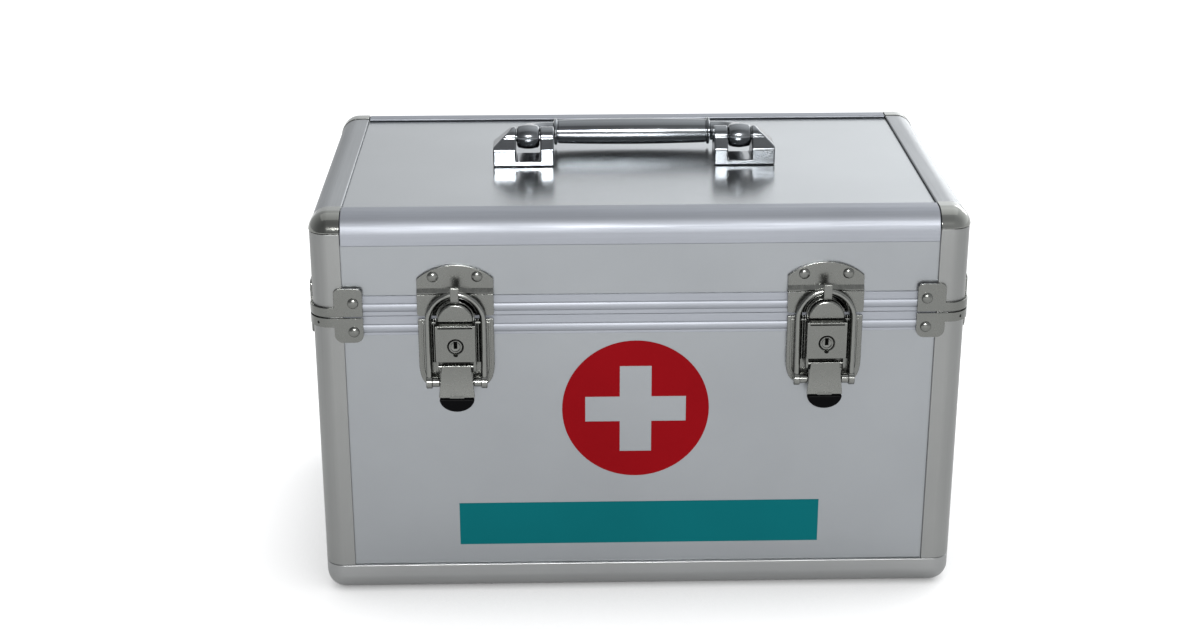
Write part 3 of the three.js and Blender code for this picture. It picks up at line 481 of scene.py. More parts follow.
@dataclass(frozen=True)
class Finish:
    """A surface finish with mottled colour, uneven gloss and fine relief."""

    name: str
    colour: Point
    roughness: float
    metallic: float
    slot: str
    grain: Grain = Grain.EVEN
    marks: float = 900.0
    roughness_spread: float = 0.05
    relief: float = 0.05
    mottle: float = 0.03
    sheen: float = 0.5

    def material(self) -> bpy.types.Material:
        """Builds the material once and gives it again later.

        Returns:
            The node material.
        """
        known = bpy.data.materials.get(self.name)
        if known:
            return known
        made = bpy.data.materials.new(self.name)
        made.use_nodes = True
        tree = made.node_tree
        place = add_node(tree, "TexCoord", {}).outputs["Object"]
        drawn = add_node(tree, "Mapping", {"Vector": place, "Scale": self.grain.value})
        marks = add_node(
            tree, "TexNoise",
            {"Vector": drawn.outputs["Vector"], "Scale": self.marks, "Detail": 3.0},
        ).outputs["Fac"]
        smooth = max(self.roughness - self.roughness_spread, 0.02)
        rough = self.roughness + self.roughness_spread
        relief = add_node(
            tree, "Bump", {"Strength": self.relief, "Distance": 0.0002, "Height": marks}
        )
        cloud = add_node(tree, "TexNoise", {"Vector": place, "Scale": 14.0, "Detail": 4.0})
        tones = add_node(tree, "ValToRGB", {"Fac": cloud.outputs["Fac"]})
        base = linear(self.colour)
        stops = ((0.35, 1 - self.mottle), (0.65, 1 + self.mottle))
        for stop, (position, share) in zip(tones.color_ramp.elements, stops):
            stop.color = tuple(min(part * share, 1.0) for part in base[:3]) + (1.0,)
            stop.position = position
        feed(tree, tree.nodes["Principled BSDF"], {
            "Metallic": self.metallic,
            "Specular IOR Level": self.sheen,
            "Roughness": map_range(tree, marks, (0.3, 0.7), (smooth, rough)),
            "Normal": relief.outputs["Normal"],
            "Base Color": tones.outputs["Color"],
        })
        return made


PANEL = Finish("silver_panel", (147, 150, 153), 0.32, 1.0, "panel", marks=900, relief=0.01,
               roughness_spread=0.03)
TOP_PANEL = Finish("silver_top", (152, 155, 157), 0.22, 1.0, "panel", marks=900, relief=0.01,
                   roughness_spread=0.03)
# The three top and upright rail finishes are one drawn aluminium whose grain runs along each
# length. Their colour is set apart by how light falls on each direction: lighter on the side rails
# as painted light, darker on the uprights as painted shade.
RAIL_ACROSS = Finish("rail_drawn_across", (145, 148, 154), 0.57, 1.0, "frame", Grain.ACROSS)
RAIL_DEEP = Finish("rail_drawn_deep", (150, 152, 154), 0.5, 1.0, "frame", Grain.DEEP)
RAIL_UPRIGHT_SHADED = Finish("rail_drawn_upright", (136, 137, 136), 0.4, 1.0, "frame", Grain.UPRIGHT)
FOOT_RAIL = Finish("rail_satin_bottom", (148, 149, 149), 0.4, 1.0, "frame", Grain.ACROSS)
CHROME = Finish("bright_chrome", (116, 119, 122), 0.17, 1.0, "chrome", marks=120,
                roughness_spread=0.03, relief=0.01)
CAP_CHROME = Finish("corner_chrome", (138, 139, 135), 0.1, 1.0, "chrome", marks=120,
                    roughness_spread=0.03, relief=0.01)
NICKEL = Finish("plated_steel", (113, 114, 111), 0.26, 1.0, "nickel", marks=400,
                roughness_spread=0.04, relief=0.01, mottle=0.02)
WIRE = Finish("plated_wire", (122, 123, 120), 0.2, 1.0, "chrome", marks=400,
              roughness_spread=0.03, relief=0.01, mottle=0.02)
BLACK = Finish("moulded_black", (3, 3, 4), 0.4, 0.0, "black_plastic", marks=700, sheen=0.04)
RED_PRINT = Finish("red_print", (119, 4, 12), 0.5, 0.0, "panel", sheen=0.05, mottle=0.05)
TEAL_PRINT = Finish("teal_print", (3, 86, 91), 0.5, 0.0, "panel", sheen=0.05, mottle=0.05)


def hand_over(
    piece: Shape,
    body: str,
    finish: Finish,
    replaces: Iterable[str] = (),
    smooth_angle: float = 32.0,
) -> None:
    """Smooths a finished piece, dresses it and lets it ride on its body.

    Args:
        piece: The finished piece.
        body: The CAD body that it rides on.
        finish: Its surface.
        replaces: CAD nodes that it stands for.
        smooth_angle: Edges sharper than this stay sharp, in degrees.
    """
    take(piece)
    bpy.ops.object.shade_smooth_by_angle(angle=math.radians(smooth_angle))
    apply_modifier(piece, "WEIGHTED_NORMAL", keep_sharp=True, weight=80)
    piece.data.materials.clear()
    piece.data.materials.append(finish.material())
    for face in piece.data.polygons:
        face.material_index = 0
    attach(piece, body)
    if replaces:
        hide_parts(*replaces)
    LOG.info("%s rides on %s in %s", piece.name, body, finish.name)


def spread(first: Shape, body: str, finish: Finish, twins: dict[str, Point], how: str) -> None:
    """Puts mirrored copies of a piece in their places and throws the first one away.

    Args:
        first: The piece at the front left.
        body: The CAD body that the copies ride on.
        finish: Their surface.
        twins: Each replaced CAD node's name and its copy's mirroring.
        how: How the pieces are made, the last word of their names.
    """
    for name, mirror in twins.items():
        hand_over(copy_of(first, f"{name}_{how}", mirror), body, finish, [name])
    bpy.data.objects.remove(first)


def corners(stem: str) -> dict[str, Point]:
    """The four corners' node names, each with its mirroring from the front left.

    Args:
        stem: The names without depth and side.

    Returns:
        The mirroring by node name.
    """
    return {
        f"{stem}_{depth}_{side}": (x, y, 1)
        for depth, y in (("front", 1), ("back", -1))
        for side, x in (("left", 1), ("right", -1))
    }


def both_sides(left: Shape, body: str, finish: Finish, node: str, **place: Point) -> None:
    """Hands over a left piece and its copy on the right.

    Args:
        left: The left piece, with its side in its name.
        body: The CAD body; braces stand for the side.
        finish: Their surface.
        node: The replaced CAD nodes' name without the side.
        place: The copy's mirroring or shift.
    """
    right = copy_of(left, left.name.replace("left", "right"), **place)
    for piece, side in ((left, "left"), (right, "right")):
        hand_over(piece, body.format(side), finish, [f"{node}_{side}"])


FRONT_BACK: dict[str, Point] = {"front": (1, 1, 1), "back": (1, -1, 1)}
LEFT_RIGHT: dict[str, Point] = {"left": (1, 1, 1), "right": (-1, 1, 1)}


def dress_node(node: str, finish: Finish) -> None:
    """Gives a carried-over CAD node its finish.

    Args:
        node: The node's name.
        finish: Its surface.
    """
    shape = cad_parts[node]
    shape.data.materials.clear()
    shape.data.materials.append(finish.material())
    LOG.info("%s keeps its CAD shape in %s", node, finish.name)


# the case


@dataclass
class RailForm:
    """What the rails, their corners and the rims share; sizes run in from the outer planes."""

    leg: float = 15.3
    radius: float = 9.5
    skin: float = 1.3
    channel_far: float = 5.2
    inner: float = 6.4
    channel_bottom: float = 10.4
    facets: int = 12
    slide: float = 0.15

    @property
    def end(self) -> float:
        """Where the straight lengths start."""
        return self.leg + self.slide

    def length_of(
        self,
        place: Callable[[float, float], Vector],
        along: Point,
        section: Sequence[Flat],
        core: Sequence[Flat] = (),
    ) -> Shape:
        """One length of a section.

        Args:
            place: Puts a section point at the length's start.
            along: Its length and direction.
            section: Its outline.
            core: The hollow's outline.

        Returns:
            The length.
        """
        rail = prism("rail", [place(a, b) for a, b in section], along)
        if core:
            beyond = Vector(along).normalized() * 2
            start = [place(a, b) - beyond * MM for a, b in core]
            cut(rail, prism("core", start, Vector(along) + 2 * beyond))
        return rail

    def lay_round(
        self,
        body: str,
        stem: str,
        section: Sequence[Flat],
        core: Sequence[Flat],
        ease: tuple[float, int],
    ) -> None:
        """Lays the lengths along the front, the back and both sides.

        Args:
            body: The CAD body that they ride on.
            stem: The replaced CAD nodes' name without the side.
            section: Their outline as distance in and height.
            core: The hollow's outline.
            ease: The rounding of their edges: its width and facets.
        """
        end = self.end

        def front(inward: float, z: float) -> Vector:
            """A section point at the left end of the front length."""
            return at(-WIDTH / 2 + end, -DEPTH / 2 + inward, z)

        def left(inward: float, z: float) -> Vector:
            """A section point at the front end of the left length."""
            return at(-WIDTH / 2 + inward, -DEPTH / 2 + end, z)

        for place, along, finish, twins in (
            (front, (WIDTH - 2 * end, 0, 0), RAIL_ACROSS, FRONT_BACK),
            (left, (0, DEPTH - 2 * end, 0), RAIL_DEEP, LEFT_RIGHT),
        ):
            first = self.length_of(place, along, section, core)
            soften(first, *ease, 60)
            names = {f"{stem}_{side}": mirror for side, mirror in twins.items()}
            spread(first, body, finish, names, "drawn")


@dataclass
class CornerRails(RailForm):
    """The extruded corner rails: rounded outside, hollow, a channel for each panel."""

    core_wall: float = 1.2
    cap_gap: float = 0.4

    def section(self) -> list[Flat]:
        """The section as distances in from the two outer planes.

        Returns:
            The outline's points.
        """
        leg, skin, far, inner = self.leg, self.skin, self.channel_far, self.inner
        bottom = self.channel_bottom
        side = [(leg, 0), (leg, skin), (bottom, skin), (bottom, far), (leg, far), (leg, inner)]
        other = [(b, a) for a, b in reversed(side)]
        nose = arc((self.radius, self.radius), self.radius, 180, 270, self.facets)
        return [*side, (inner, inner), *other, *nose]

    def core(self) -> list[Flat]:
        """The hollow's section.

        Returns:
            The outline's points.
        """
        wall, end = self.core_wall, self.channel_bottom - self.core_wall
        bore = self.radius - wall
        flat = math.degrees(math.asin((self.radius - end) / bore))
        nose = arc((self.radius, self.radius), bore, 180 + flat, 270 - flat, self.facets)
        far = self.channel_far
        return [(far, far), (far, end), *nose, (end, far)]

    def build(self) -> None:
        """Builds the eight uprights and the four top rails."""
        halves = {
            "base": (self.end, PARTING - PARTING_GAP / 2),
            "lid": (PARTING + PARTING_GAP / 2, HEIGHT - CAP_DROP - self.cap_gap),
        }
        for body, (low, high) in halves.items():

            def corner(a: float, b: float, z: float = low) -> Vector:
                """A section point at the front left corner."""
                return at(-WIDTH / 2 + a, -DEPTH / 2 + b, z)

            first = self.length_of(corner, (0, 0, high - low), self.section(), self.core())
            soften(first, 0.3, 2, 60)
            # The uprights take the darker rail colour: painted shade.
            spread(first, body, RAIL_UPRIGHT_SHADED, corners(f"{body}_rail"), "drawn")
        section, core = (
            [(a, HEIGHT - b) for a, b in points] for points in (self.section(), self.core())
        )
        self.lay_round("lid", "top_rail", section, core, (0.6, 3))


@dataclass
class CornerBlocks(RailForm):
    """The bright top corner caps and the satin bottom frame with its rounded corners."""

    proud: float = 0.4
    over: float = 2.0

    def build(self) -> None:
        """Builds the four caps and the bottom frame."""
        spread(self.cap(), "lid", CAP_CHROME, corners("top_cap"), "cast")
        self.bottom()

    def cap(self) -> Shape:
        """The front left top cap, cut from a block rounded all ways.

        Returns:
            The cap.
        """
        span = 2 * (self.leg + self.proud)
        x, y, z = -WIDTH / 2 - self.proud, -DEPTH / 2 - self.proud, HEIGHT + self.proud
        cap = block("cap", (x, y, z - span), (x + span, y + span, z))
        soften(cap, self.radius + self.proud, self.facets, 40)
        middle = at(-WIDTH / 2 + self.leg, -DEPTH / 2 + self.leg, HEIGHT - CAP_DROP)
        for normal in ((1, 0, 0), (0, 1, 0), (0, 0, -1)):
            slice_off(cap, middle, normal)
        x, y, far = -WIDTH / 2, -DEPTH / 2, self.leg + self.over
        inside = block(
            "inside",
            (x + self.inner, y + self.inner, HEIGHT - far), (x + far, y + far, HEIGHT - self.inner),
        )
        cut(cap, inside)
        soften(cap, 0.25, 2, 60)
        return cap

    def bottom(self) -> None:
        """The bottom rails and corners as one ring."""
        x, y = WIDTH / 2, DEPTH / 2
        ring = block("bottom_frame_drawn", (-x, -y, 0), (x, y, 4 * self.leg))
        soften(ring, self.radius, self.facets, 40)
        slice_off(ring, at(0, 0, self.leg), (0, 0, 1))
        leg, inner, skin, top = self.leg, self.inner, self.skin, 2 * self.leg
        far, deep = self.channel_far, self.channel_bottom
        cut(
            ring,
            block("well", (-x + inner, -y + inner, inner), (x - inner, y - inner, top)),
            block("window", (-x + leg, -y + leg, -1), (x - leg, y - leg, leg)),
            block("floor", (-x + deep, -y + deep, skin), (x - deep, y - deep, far)),
            block("front", (-x + deep, -y + skin, deep), (x - deep, -y + far, top)),
            block("back", (-x + deep, y - far, deep), (x - deep, y - skin, top)),
            block("left", (-x + skin, -y + deep, deep), (-x + far, y - deep, top)),
            block("right", (x - far, -y + deep, deep), (x - skin, y - deep, top)),
        )
        soften(ring, 0.6, 3, 60)
        hand_over(ring, "base", FOOT_RAIL, ["bottom_frame"])


@dataclass
class Rims(RailForm):
    """The rim mouldings on both sides of the parting line, each with a half-round rib."""

    recess: float = 0.8
    rib_height: float = 4.4
    rib_steps: int = 14
    gap: float = 0.16
    base_depth: float = 9.87
    lid_depth: float = 10.27
    base_step: float = 5.6
    tongue: float = 4.0
    tongue_gap: float = 0.5
    tongue_side_gap: float = 0.4
    web: float = 1.2
    base_rib: float = 6.3
    lid_rib: float = 4.3

    def rib(self, middle: float) -> list[Flat]:
        """The rib's points from the top down.

        Args:
            middle: The rib's height.

        Returns:
            Points as distance in and height.
        """
        points = []
        for i in range(self.rib_steps + 1):
            across = 1 - 2 * i / self.rib_steps
            inset = self.recess * (1 - math.sqrt(max(1 - across * across, 0)))
            points.append((inset, middle + across * self.rib_height / 2))
        return points

    def sections(self) -> dict[str, list[Flat]]:
        """Both sections as distance in and height.

        Returns:
            The outline's points for each half.
        """
        r, skin, far, inner = self.recess, self.skin, self.channel_far, self.inner
        base_top, lid_low = PARTING - self.gap / 2, PARTING + self.gap / 2
        low, high = base_top - self.base_depth, lid_low + self.lid_depth
        step, tongue = low + self.base_step, base_top + self.tongue
        base = [
            (r, low), (skin, low), (skin, step), (far, step), (far, low), (inner, low),
            (inner, tongue), (far, tongue), (far, base_top), (r, base_top),
            *self.rib(base_top - self.base_rib),
        ]
        lip, web = far - self.tongue_side_gap, tongue + self.tongue_gap
        floor = web + self.web
        lid = [
            (r, lid_low), (lip, lid_low), (lip, web), (inner, web), (inner, high), (far, high),
            (far, floor), (skin, floor), (skin, high), (r, high),
            *self.rib(lid_low + self.lid_rib),
        ]
        return {"base": base, "lid": lid}

    def build(self) -> None:
        """Builds the eight lengths."""
        for body, section in self.sections().items():
            self.lay_round(body, f"{body}_rim", section, (), (0.12, 1))


@dataclass
class Panels:
    """The boards between the rails, which keep their CAD shape, and the print on the front."""

    disc_x: float = -2.2
    disc_z: float = 100.3
    disc_radius: float = 36.5
    cross_width: float = 50.0
    cross_height: float = 46.0
    arm_width: float = 15.7
    arm_height: float = 13.4
    band_half: float = 91.0
    band_low: float = 26.0
    band_high: float = 49.2
    film: float = 0.12
    film_gap: float = 0.01

    def face(self, x: float, z: float, out: float = 0.0) -> Vector:
        """A point on the front panel's face."""
        return at(x, -DEPTH / 2 + PANEL_FACE - out, z)

    def film_on(
        self, name: str, outline: Sequence[Flat], finish: Finish, opening: Sequence[Flat] = ()
    ) -> None:
        """Lays a thin printed film on the front panel.

        Args:
            name: The film's name.
            outline: Its outline on the panel.
            finish: Its colour.
            opening: An outline through which the bare board shows.
        """
        start = [self.face(x, z, self.film_gap) for x, z in outline]
        film = prism(name, start, (0, -self.film, 0))
        if opening:
            start = [self.face(x, z, -1) for x, z in opening]
            cut(film, prism("opening", start, (0, -20 * self.film, 0)))
        hand_over(film, "base", finish)

    def build(self) -> None:
        """Dresses the boards and lays the films."""
        for side in ("front", "back", "left", "right"):
            dress_node(f"base_panel_{side}", PANEL)
            dress_node(f"lid_panel_{side}", PANEL)
        dress_node("top_panel", TOP_PANEL)
        dress_node("bottom_panel", PANEL)
        w, h = self.cross_width / 2, self.cross_height / 2
        a, b = self.arm_width / 2, self.arm_height / 2
        upper = mirrored([(w, b), (a, b), (a, h)])
        arms = [*upper, *[(x, -z) for x, z in reversed(upper)]]
        cross = [(self.disc_x + x, self.disc_z + z) for x, z in arms]
        rim = arc((self.disc_x, self.disc_z), self.disc_radius, 0, 360, 96)[:-1]
        self.film_on("red_disc", rim, RED_PRINT, cross)
        half, low, high = self.band_half, self.band_low, self.band_high
        band = [(-half, low), (half, low), (half, high), (-half, high)]
        self.film_on("teal_band", band, TEAL_PRINT)


def rivet(name: str, centre: Vector, out: Point, radius: float = 2.7) -> Shape:
    """A domed rivet head.

    Args:
        name: The rivet's name.
        centre: The middle of its underside, in metres.
        out: The direction in which it stands, along one axis.
        radius: Its radius in millimetres.

    Returns:
        The rivet head.
    """
    axis = Vector(out)
    side = Vector((0, 0, 1)) if abs(out[2]) < 0.5 else Vector((1, 0, 0))
    sunk, foot, dome = -0.5, 0.15, 1.2
    shape = [(0, sunk), (radius, sunk), (radius, foot)]
    shape += [
        (radius * math.cos(math.radians(t)), foot + dome * math.sin(math.radians(t)))
        for t in (18, 36, 54, 72)
    ]
    shape.append((0, foot + dome))
    profile = [centre + side * r * MM + axis * h * MM for r, h in shape]
    return turned(name, profile, centre, out, 24)


@dataclass
class Braces:
    """The plated braces that wrap the front corners on both sides of the parting line."""

    inner: float = 0.15
    outer: float = 1.35
    band: float = 4.6
    tab_from: float = 11.1
    tab_to: float = 25.1
    lid_corner: float = 2.6
    base_corner: float = 4.0
    rail_radius: float = 9.5
    dimple: float = 0.7
    dimple_turn: float = 55.0
    dimple_depth: float = 0.8
    lid_height: float = 14.4
    base_height: float = 12.6
    rivet_from_end: float = 4.6
    rivet_height: float = 7.0
    facets: int = 12

    def build(self) -> None:
        """Builds the four braces."""
        lid_near = PARTING + PARTING_GAP / 2 + self.inner
        base_near = PARTING - PARTING_GAP / 2 - self.inner
        for body, near, tall in (
            ("lid", lid_near, self.lid_height), ("base", base_near, -self.base_height)
        ):
            left = self.brace(body, near, tall)
            both_sides(left, body, NICKEL, f"{body}_brace_front", mirror=(-1, 1, 1))

    def brace(self, body: str, near: float, tall: float) -> Shape:
        """The brace on the front left corner.

        Args:
            body: The half that carries it.
            near: Its edge at the parting line.
            tall: Its tabs' height, negative downwards.

        Returns:
            The brace with its rivets.
        """
        up = 1 if tall > 0 else -1
        centre = (self.rail_radius, self.rail_radius)
        outside = arc(centre, self.rail_radius + self.outer, 180, 270, self.facets)
        inside = arc(centre, self.rail_radius + self.inner, 270, 180, self.facets)
        reach = self.tab_to - 1
        ring = [
            *outside, (reach, -self.outer), (reach, -self.inner), *inside,
            (-self.inner, reach), (-self.outer, reach),
        ]
        x, y = -WIDTH / 2, -DEPTH / 2
        strap = prism(
            f"{body}_brace_left_pressed",
            [at(x + a, y + b, near) for a, b in ring],
            (0, 0, up * self.band),
        )
        far, c = near + tall, self.lid_corner if up > 0 else self.base_corner
        start, end = (0, 90) if up > 0 else (0, -90)
        outline = [
            (self.tab_from, near),
            (self.tab_to, near),
            *arc((self.tab_to - c, far - up * c), c, start, end, 6),
            *arc((self.tab_from + c, far - up * c), c, end, 2 * end, 6),
        ]
        thick = self.outer - self.inner
        front = [at(x + a, y - self.inner, z) for a, z in outline]
        side = [at(x - self.inner, y + a, z) for a, z in outline]
        unite(strap, prism("tab", front, (0, -thick, 0)), prism("tab", side, (-thick, 0, 0)))
        if up < 0:
            turn = math.radians(self.dimple_turn)
            out = (-math.cos(turn), -math.sin(turn), 0)
            reach = self.rail_radius + self.outer
            spot = at(
                x + self.rail_radius + reach * out[0], y + self.rail_radius + reach * out[1],
                near - self.band / 2,
            )
            deep, wide = -self.dimple_depth, self.dimple
            shape = [(0, deep), (wide, deep), (wide, 1), (0, 1)]
            drill = [spot + Vector((0, 0, r * MM)) + Vector(out) * h * MM for r, h in shape]
            cut(strap, turned("dimple", drill, spot, out, 16))
        soften(strap, 0.3)
        reach, height = self.tab_to - self.rivet_from_end, near + up * self.rivet_height
        first = rivet("rivet", at(x + reach, y - self.outer, height), (0, -1, 0))
        second = rivet("rivet", at(x - self.outer, y + reach, height), (-1, 0, 0))
        return put_together(strap.name, strap, first, second)


# the latches


@dataclass
class Latches:
    """The two draw latches: base plate with lock, key plug, lever, tip, bail and keeper."""

    centre: float = 90.0
    plate_half: float = 18.4
    plate_top: float = 150.2
    plate_bottom: float = 115.2
    plate_straight: float = 127.2
    foot_half: float = 12.0
    lock_half: float = 9.65
    lock_low: float = 131.2
    lock_high: float = 150.5
    lock_out: float = 10.9
    dome_apex: float = 159.7
    dome_out: float = 7.4
    plug_height: float = 139.2
    plug_radius: float = 3.3
    lock_corner: float = 1.0
    lock_back: float = 1.4
    slope: float = 0.16
    slope_from: float = 6.8
    bore_back: float = 4.9
    notch_drop: float = 4.1
    line_drop: float = 1.4
    plate_layer: Flat = (0.2, 1.5)
    skirt_layer: Flat = (-1.3, 0.4)
    skirt_top: float = 141.0
    bead_layer: Flat = (1.3, 1.85)
    bead_inset: float = 1.6
    bead_width: float = 1.0
    plate_grooves: Flat = (9.8, 10.9)
    keeper_grooves: Flat = (9.5, 10.6)
    groove_width: float = 1.0
    groove_floor: float = 0.4
    groove_low: float = 127.5
    groove_length: float = 25.0
    dome_layer: Flat = (2.0, 3.1)
    cheek: float = 3.0
    pin_radius: float = 1.1
    pivot: Flat = (6.4, 127.2)
    bail_pivot: Flat = (5.2, 118.6)
    lever_end: float = 112.1
    lever_out: float = 10.2
    lever_sheet: float = 1.3
    lever_half: float = 9.5
    lever_roll: float = 2.4
    roll_sink: float = 0.6
    roll_half: float = 6.9
    tongue_half: float = 3.5
    tongue_end: float = 3.9
    tip_half: float = 8.6
    tip_drop: float = 6.9
    tip_thick: float = 3.3
    wire: float = 1.5
    bail_half: float = 13.4
    bail_apex: Flat = (3.7, 163.6)
    keeper_half: float = 18.6
    keeper_low: float = 151.8
    keeper_step: float = 162.7
    keeper_corner: float = 1.2
    keeper_shoulder: float = 170.35
    keeper_top: float = 177.35
    keeper_layer: Flat = (0.2, 1.6)
    raised_layer: Flat = (-1.3, 0.1)
    rivet_at: Flat = (10.7, 171.45)
    made: dict[str, Shape] = field(default_factory=dict)

    def spot(self, u: float, v: float, w: float) -> Vector:
        """A point on the left latch: across, up and out of the front plane."""
        return at(-self.centre + u, -DEPTH / 2 - w, v)

    def plate(self, name: str, outline: Sequence[Flat], low: float, high: float) -> Shape:
        """A flat form between two distances from the front plane.

        Args:
            name: The form's name.
            outline: Its outline as across and up.
            low: Where it starts.
            high: Where it ends.

        Returns:
            The form.
        """
        points = [self.spot(u, v, low) for u, v in outline]
        return prism(name, points, (0, low - high, 0))

    def profile(self, name: str, outline: Sequence[Flat], low: float, high: float) -> Shape:
        """A side profile drawn across the latch.

        Args:
            name: The form's name.
            outline: Its outline as out and up.
            low: Where it starts across.
            high: Where it ends across.

        Returns:
            The form.
        """
        points = [self.spot(low, v, w) for w, v in outline]
        return prism(name, points, (high - low, 0, 0))

    def cheeks(
        self, outline: Sequence[Flat], near: float, far: float, ease: float
    ) -> list[Shape]:
        """The two cheeks on both sides of the middle.

        Args:
            outline: Their side profile as out and up.
            near: Where they start from the middle.
            far: Where they end.
            ease: The rounding of their edges.

        Returns:
            The left and the right cheek.
        """
        spans = ((-far, -near), (near, far))
        cheeks = [self.profile("cheek", outline, low, high) for low, high in spans]
        for cheek in cheeks:
            soften(cheek, ease)
        return cheeks

    def bar(
        self, name: str, low: float, high: float, out: float, up: float, radius: float
    ) -> Shape:
        """A round bar across the latch with rounded rims.

        Args:
            name: The bar's name.
            low: Where it starts across.
            high: Where it ends across.
            out: Its distance from the front plane.
            up: Its height.
            radius: Its radius.

        Returns:
            The bar.
        """
        soft = min(0.3, radius / 3)
        shape = [
            (low, 0), (low, radius - soft), (low + soft, radius),
            (high - soft, radius), (high, radius - soft), (high, 0),
        ]
        points = [self.spot(u, up + r, out) for u, r in shape]
        return turned(name, points, self.spot(0, up, out), (1, 0, 0))

    def plate_outline(self, inset: float = 0.0, top: float | None = None) -> list[Flat]:
        """The base plate's outline, drawn in by an inset.

        Args:
            inset: How far in it is drawn.
            top: The height of its upper edge.

        Returns:
            Points as across and up.
        """
        half, foot = self.plate_half - inset, self.foot_half - inset / 2
        bottom = self.plate_bottom + inset
        top = self.plate_top - inset if top is None else top
        curve = bow((half, self.plate_straight), (half, bottom), (foot, bottom))
        return mirrored([(half, top), *curve])

    def groove_section(self, near: float, top: float) -> list[Flat]:
        """A fine V-shaped groove's section as distance and out."""
        width = self.groove_width
        return [(near, top), (near + width, top), (near + width / 2, self.groove_floor)]

    def house(self) -> Shape:
        """The lock box with the key's bore, a notch under it and a fine line near its top.

        Returns:
            The lock box.
        """
        half, corner, face = self.lock_half, self.lock_corner, self.lock_out
        low, high = self.lock_low, self.lock_high
        u, low_v, high_v = half - corner, low + corner, high - corner
        outline: list[Flat] = []
        for turn, centre in enumerate(((u, low_v), (u, high_v), (-u, high_v), (-u, low_v))):
            outline += arc(centre, corner, 90 * turn - 90, 90 * turn, 4)
        house = self.plate("house", outline, self.lock_back, face)
        slice_off(house, self.spot(0, high, self.slope_from), (0, -self.slope, 1))
        soften(house, 0.6, 3)
        bore, flare = self.plug_radius + 0.2, self.plug_radius + 0.9
        back, beyond = self.bore_back, face + 1.6
        rim = [(0, back), (bore, back), (bore, face - 0.7), (flare, face + 0.1),
               (flare, beyond), (0, beyond)]
        hole = self.round_form("hole", self.plug_height, rim)
        cone = [(0, face - 3.8), (1.5, face + 1.0), (0, face + 1.0)]
        notch = self.round_form("notch", self.plug_height - self.notch_drop, cone, 24)
        upper = high - self.line_drop
        lower = upper - 0.7
        fine = [(face + 1, upper), (face - 1.4, upper), (face, lower), (face + 1, lower)]
        cut(house, hole, notch, self.profile("groove", fine, -half + 1.3, half - 1.3))
        return house

    def dome(self) -> list[Shape]:
        """The dome over the lock: a low step and the raised crown on it.

        Returns:
            The step and the crown.
        """
        high, apex = self.lock_high, self.dome_apex
        radius, swell = self.lock_half - 0.4, self.lock_half - 1.0
        step = self.plate(
            "dome",
            [(-radius, high - 1.2), (radius, high - 1.2),
             *arc((0, apex - radius), radius, 0, 180, 24)],
            *self.dome_layer,
        )
        soften(step, 0.4)
        crown = self.plate(
            "crown",
            [(-swell, high - 6), (swell, high - 6),
             *arc((0, apex + 0.1 - swell), swell, 0, 180, 24)],
            self.dome_layer[1] - 0.1, self.dome_out,
        )
        soften(crown, 1.2, 4)
        slice_off(crown, self.spot(0, high + 0.5, 0), (0, 0, -1))
        return [step, crown]

    def body(self) -> None:
        """The base plate with its skirt, lock box, dome and cheeks."""
        plate = self.plate("latch_body_left_pressed", self.plate_outline(), *self.plate_layer)
        soften(plate, 0.45, 3)
        for sign in (-1, 1):
            for near in self.plate_grooves:
                section = self.groove_section(near, 1.7)
                line = [self.spot(sign * u, self.groove_low, w) for u, w in section]
                cut(plate, prism("groove", line, (0, 0, self.groove_length)))
        skirt = self.plate("skirt", self.plate_outline(0.1, self.skirt_top), *self.skirt_layer)
        inset = self.bead_inset
        bead = self.plate("bead", self.plate_outline(inset), *self.bead_layer)
        cut(bead, self.plate("bead_cut", self.plate_outline(inset + self.bead_width), 1.0, 2.5))
        soften(bead, 0.25)
        parts = [plate, skirt, bead, self.house(), *self.dome()]
        half, radius, low = self.lock_half, self.cheek, self.lock_low + 1.2
        out, up = self.pivot
        outline = [(out + radius, low), (out - radius, low), (out - radius, up),
                   *arc((out, up), radius, 180, 360, 12)]
        parts += self.cheeks(outline, half - 1.2, half, 0.25)
        parts.append(self.bar("pin", -half, half, out, up, self.pin_radius))
        self.made["latch_body"] = put_together(plate.name, *parts)

    def round_form(self, name: str, up: float, shape: Sequence[Flat], steps: int = 32) -> Shape:
        """A form turned about a line that stands out of the front.

        Args:
            name: The form's name.
            up: The line's height.
            shape: Its profile as radius and out.
            steps: Facets round the line.

        Returns:
            The form.
        """
        points = [self.spot(0, up + r, w) for r, w in shape]
        return turned(name, points, self.spot(0, up, 0), (0, 1, 0), steps)

    def plug(self) -> None:
        """The key plug with its slot and the cam behind it."""
        face, radius = self.lock_out - 0.1, self.plug_radius
        shape = [(0, 5.0), (radius, 5.0), (radius, face - 0.2), (radius - 0.2, face),
                 (radius - 0.7, face), (radius - 1.1, face - 0.35), (0, face - 0.6)]
        height = self.plug_height
        plug = self.round_form("key_plug_left_turned", height, shape)
        wide, lip = 0.9, face - 0.4
        wedge = [(-wide, face + 1), (wide, face + 1), (wide, lip), (0, face - 4.6), (-wide, lip)]
        low_end = [self.spot(u, height - 1.5, w) for u, w in wedge]
        slot = prism("slot", low_end, (0, 0, 4.3))
        slice_off(slot, self.spot(0, height - 1.3, face), (0, 0.35, -1))
        cut(plug, slot)
        x, y, thick = -self.centre, -DEPTH / 2 - 3.7, 1.4
        cam = block("cam", (x - 1.5, y - thick, height), (x + 1.5, y, height + 6.2))
        soften(cam, 0.3)
        self.made["key_plug"] = put_together(plug.name, plug, cam)

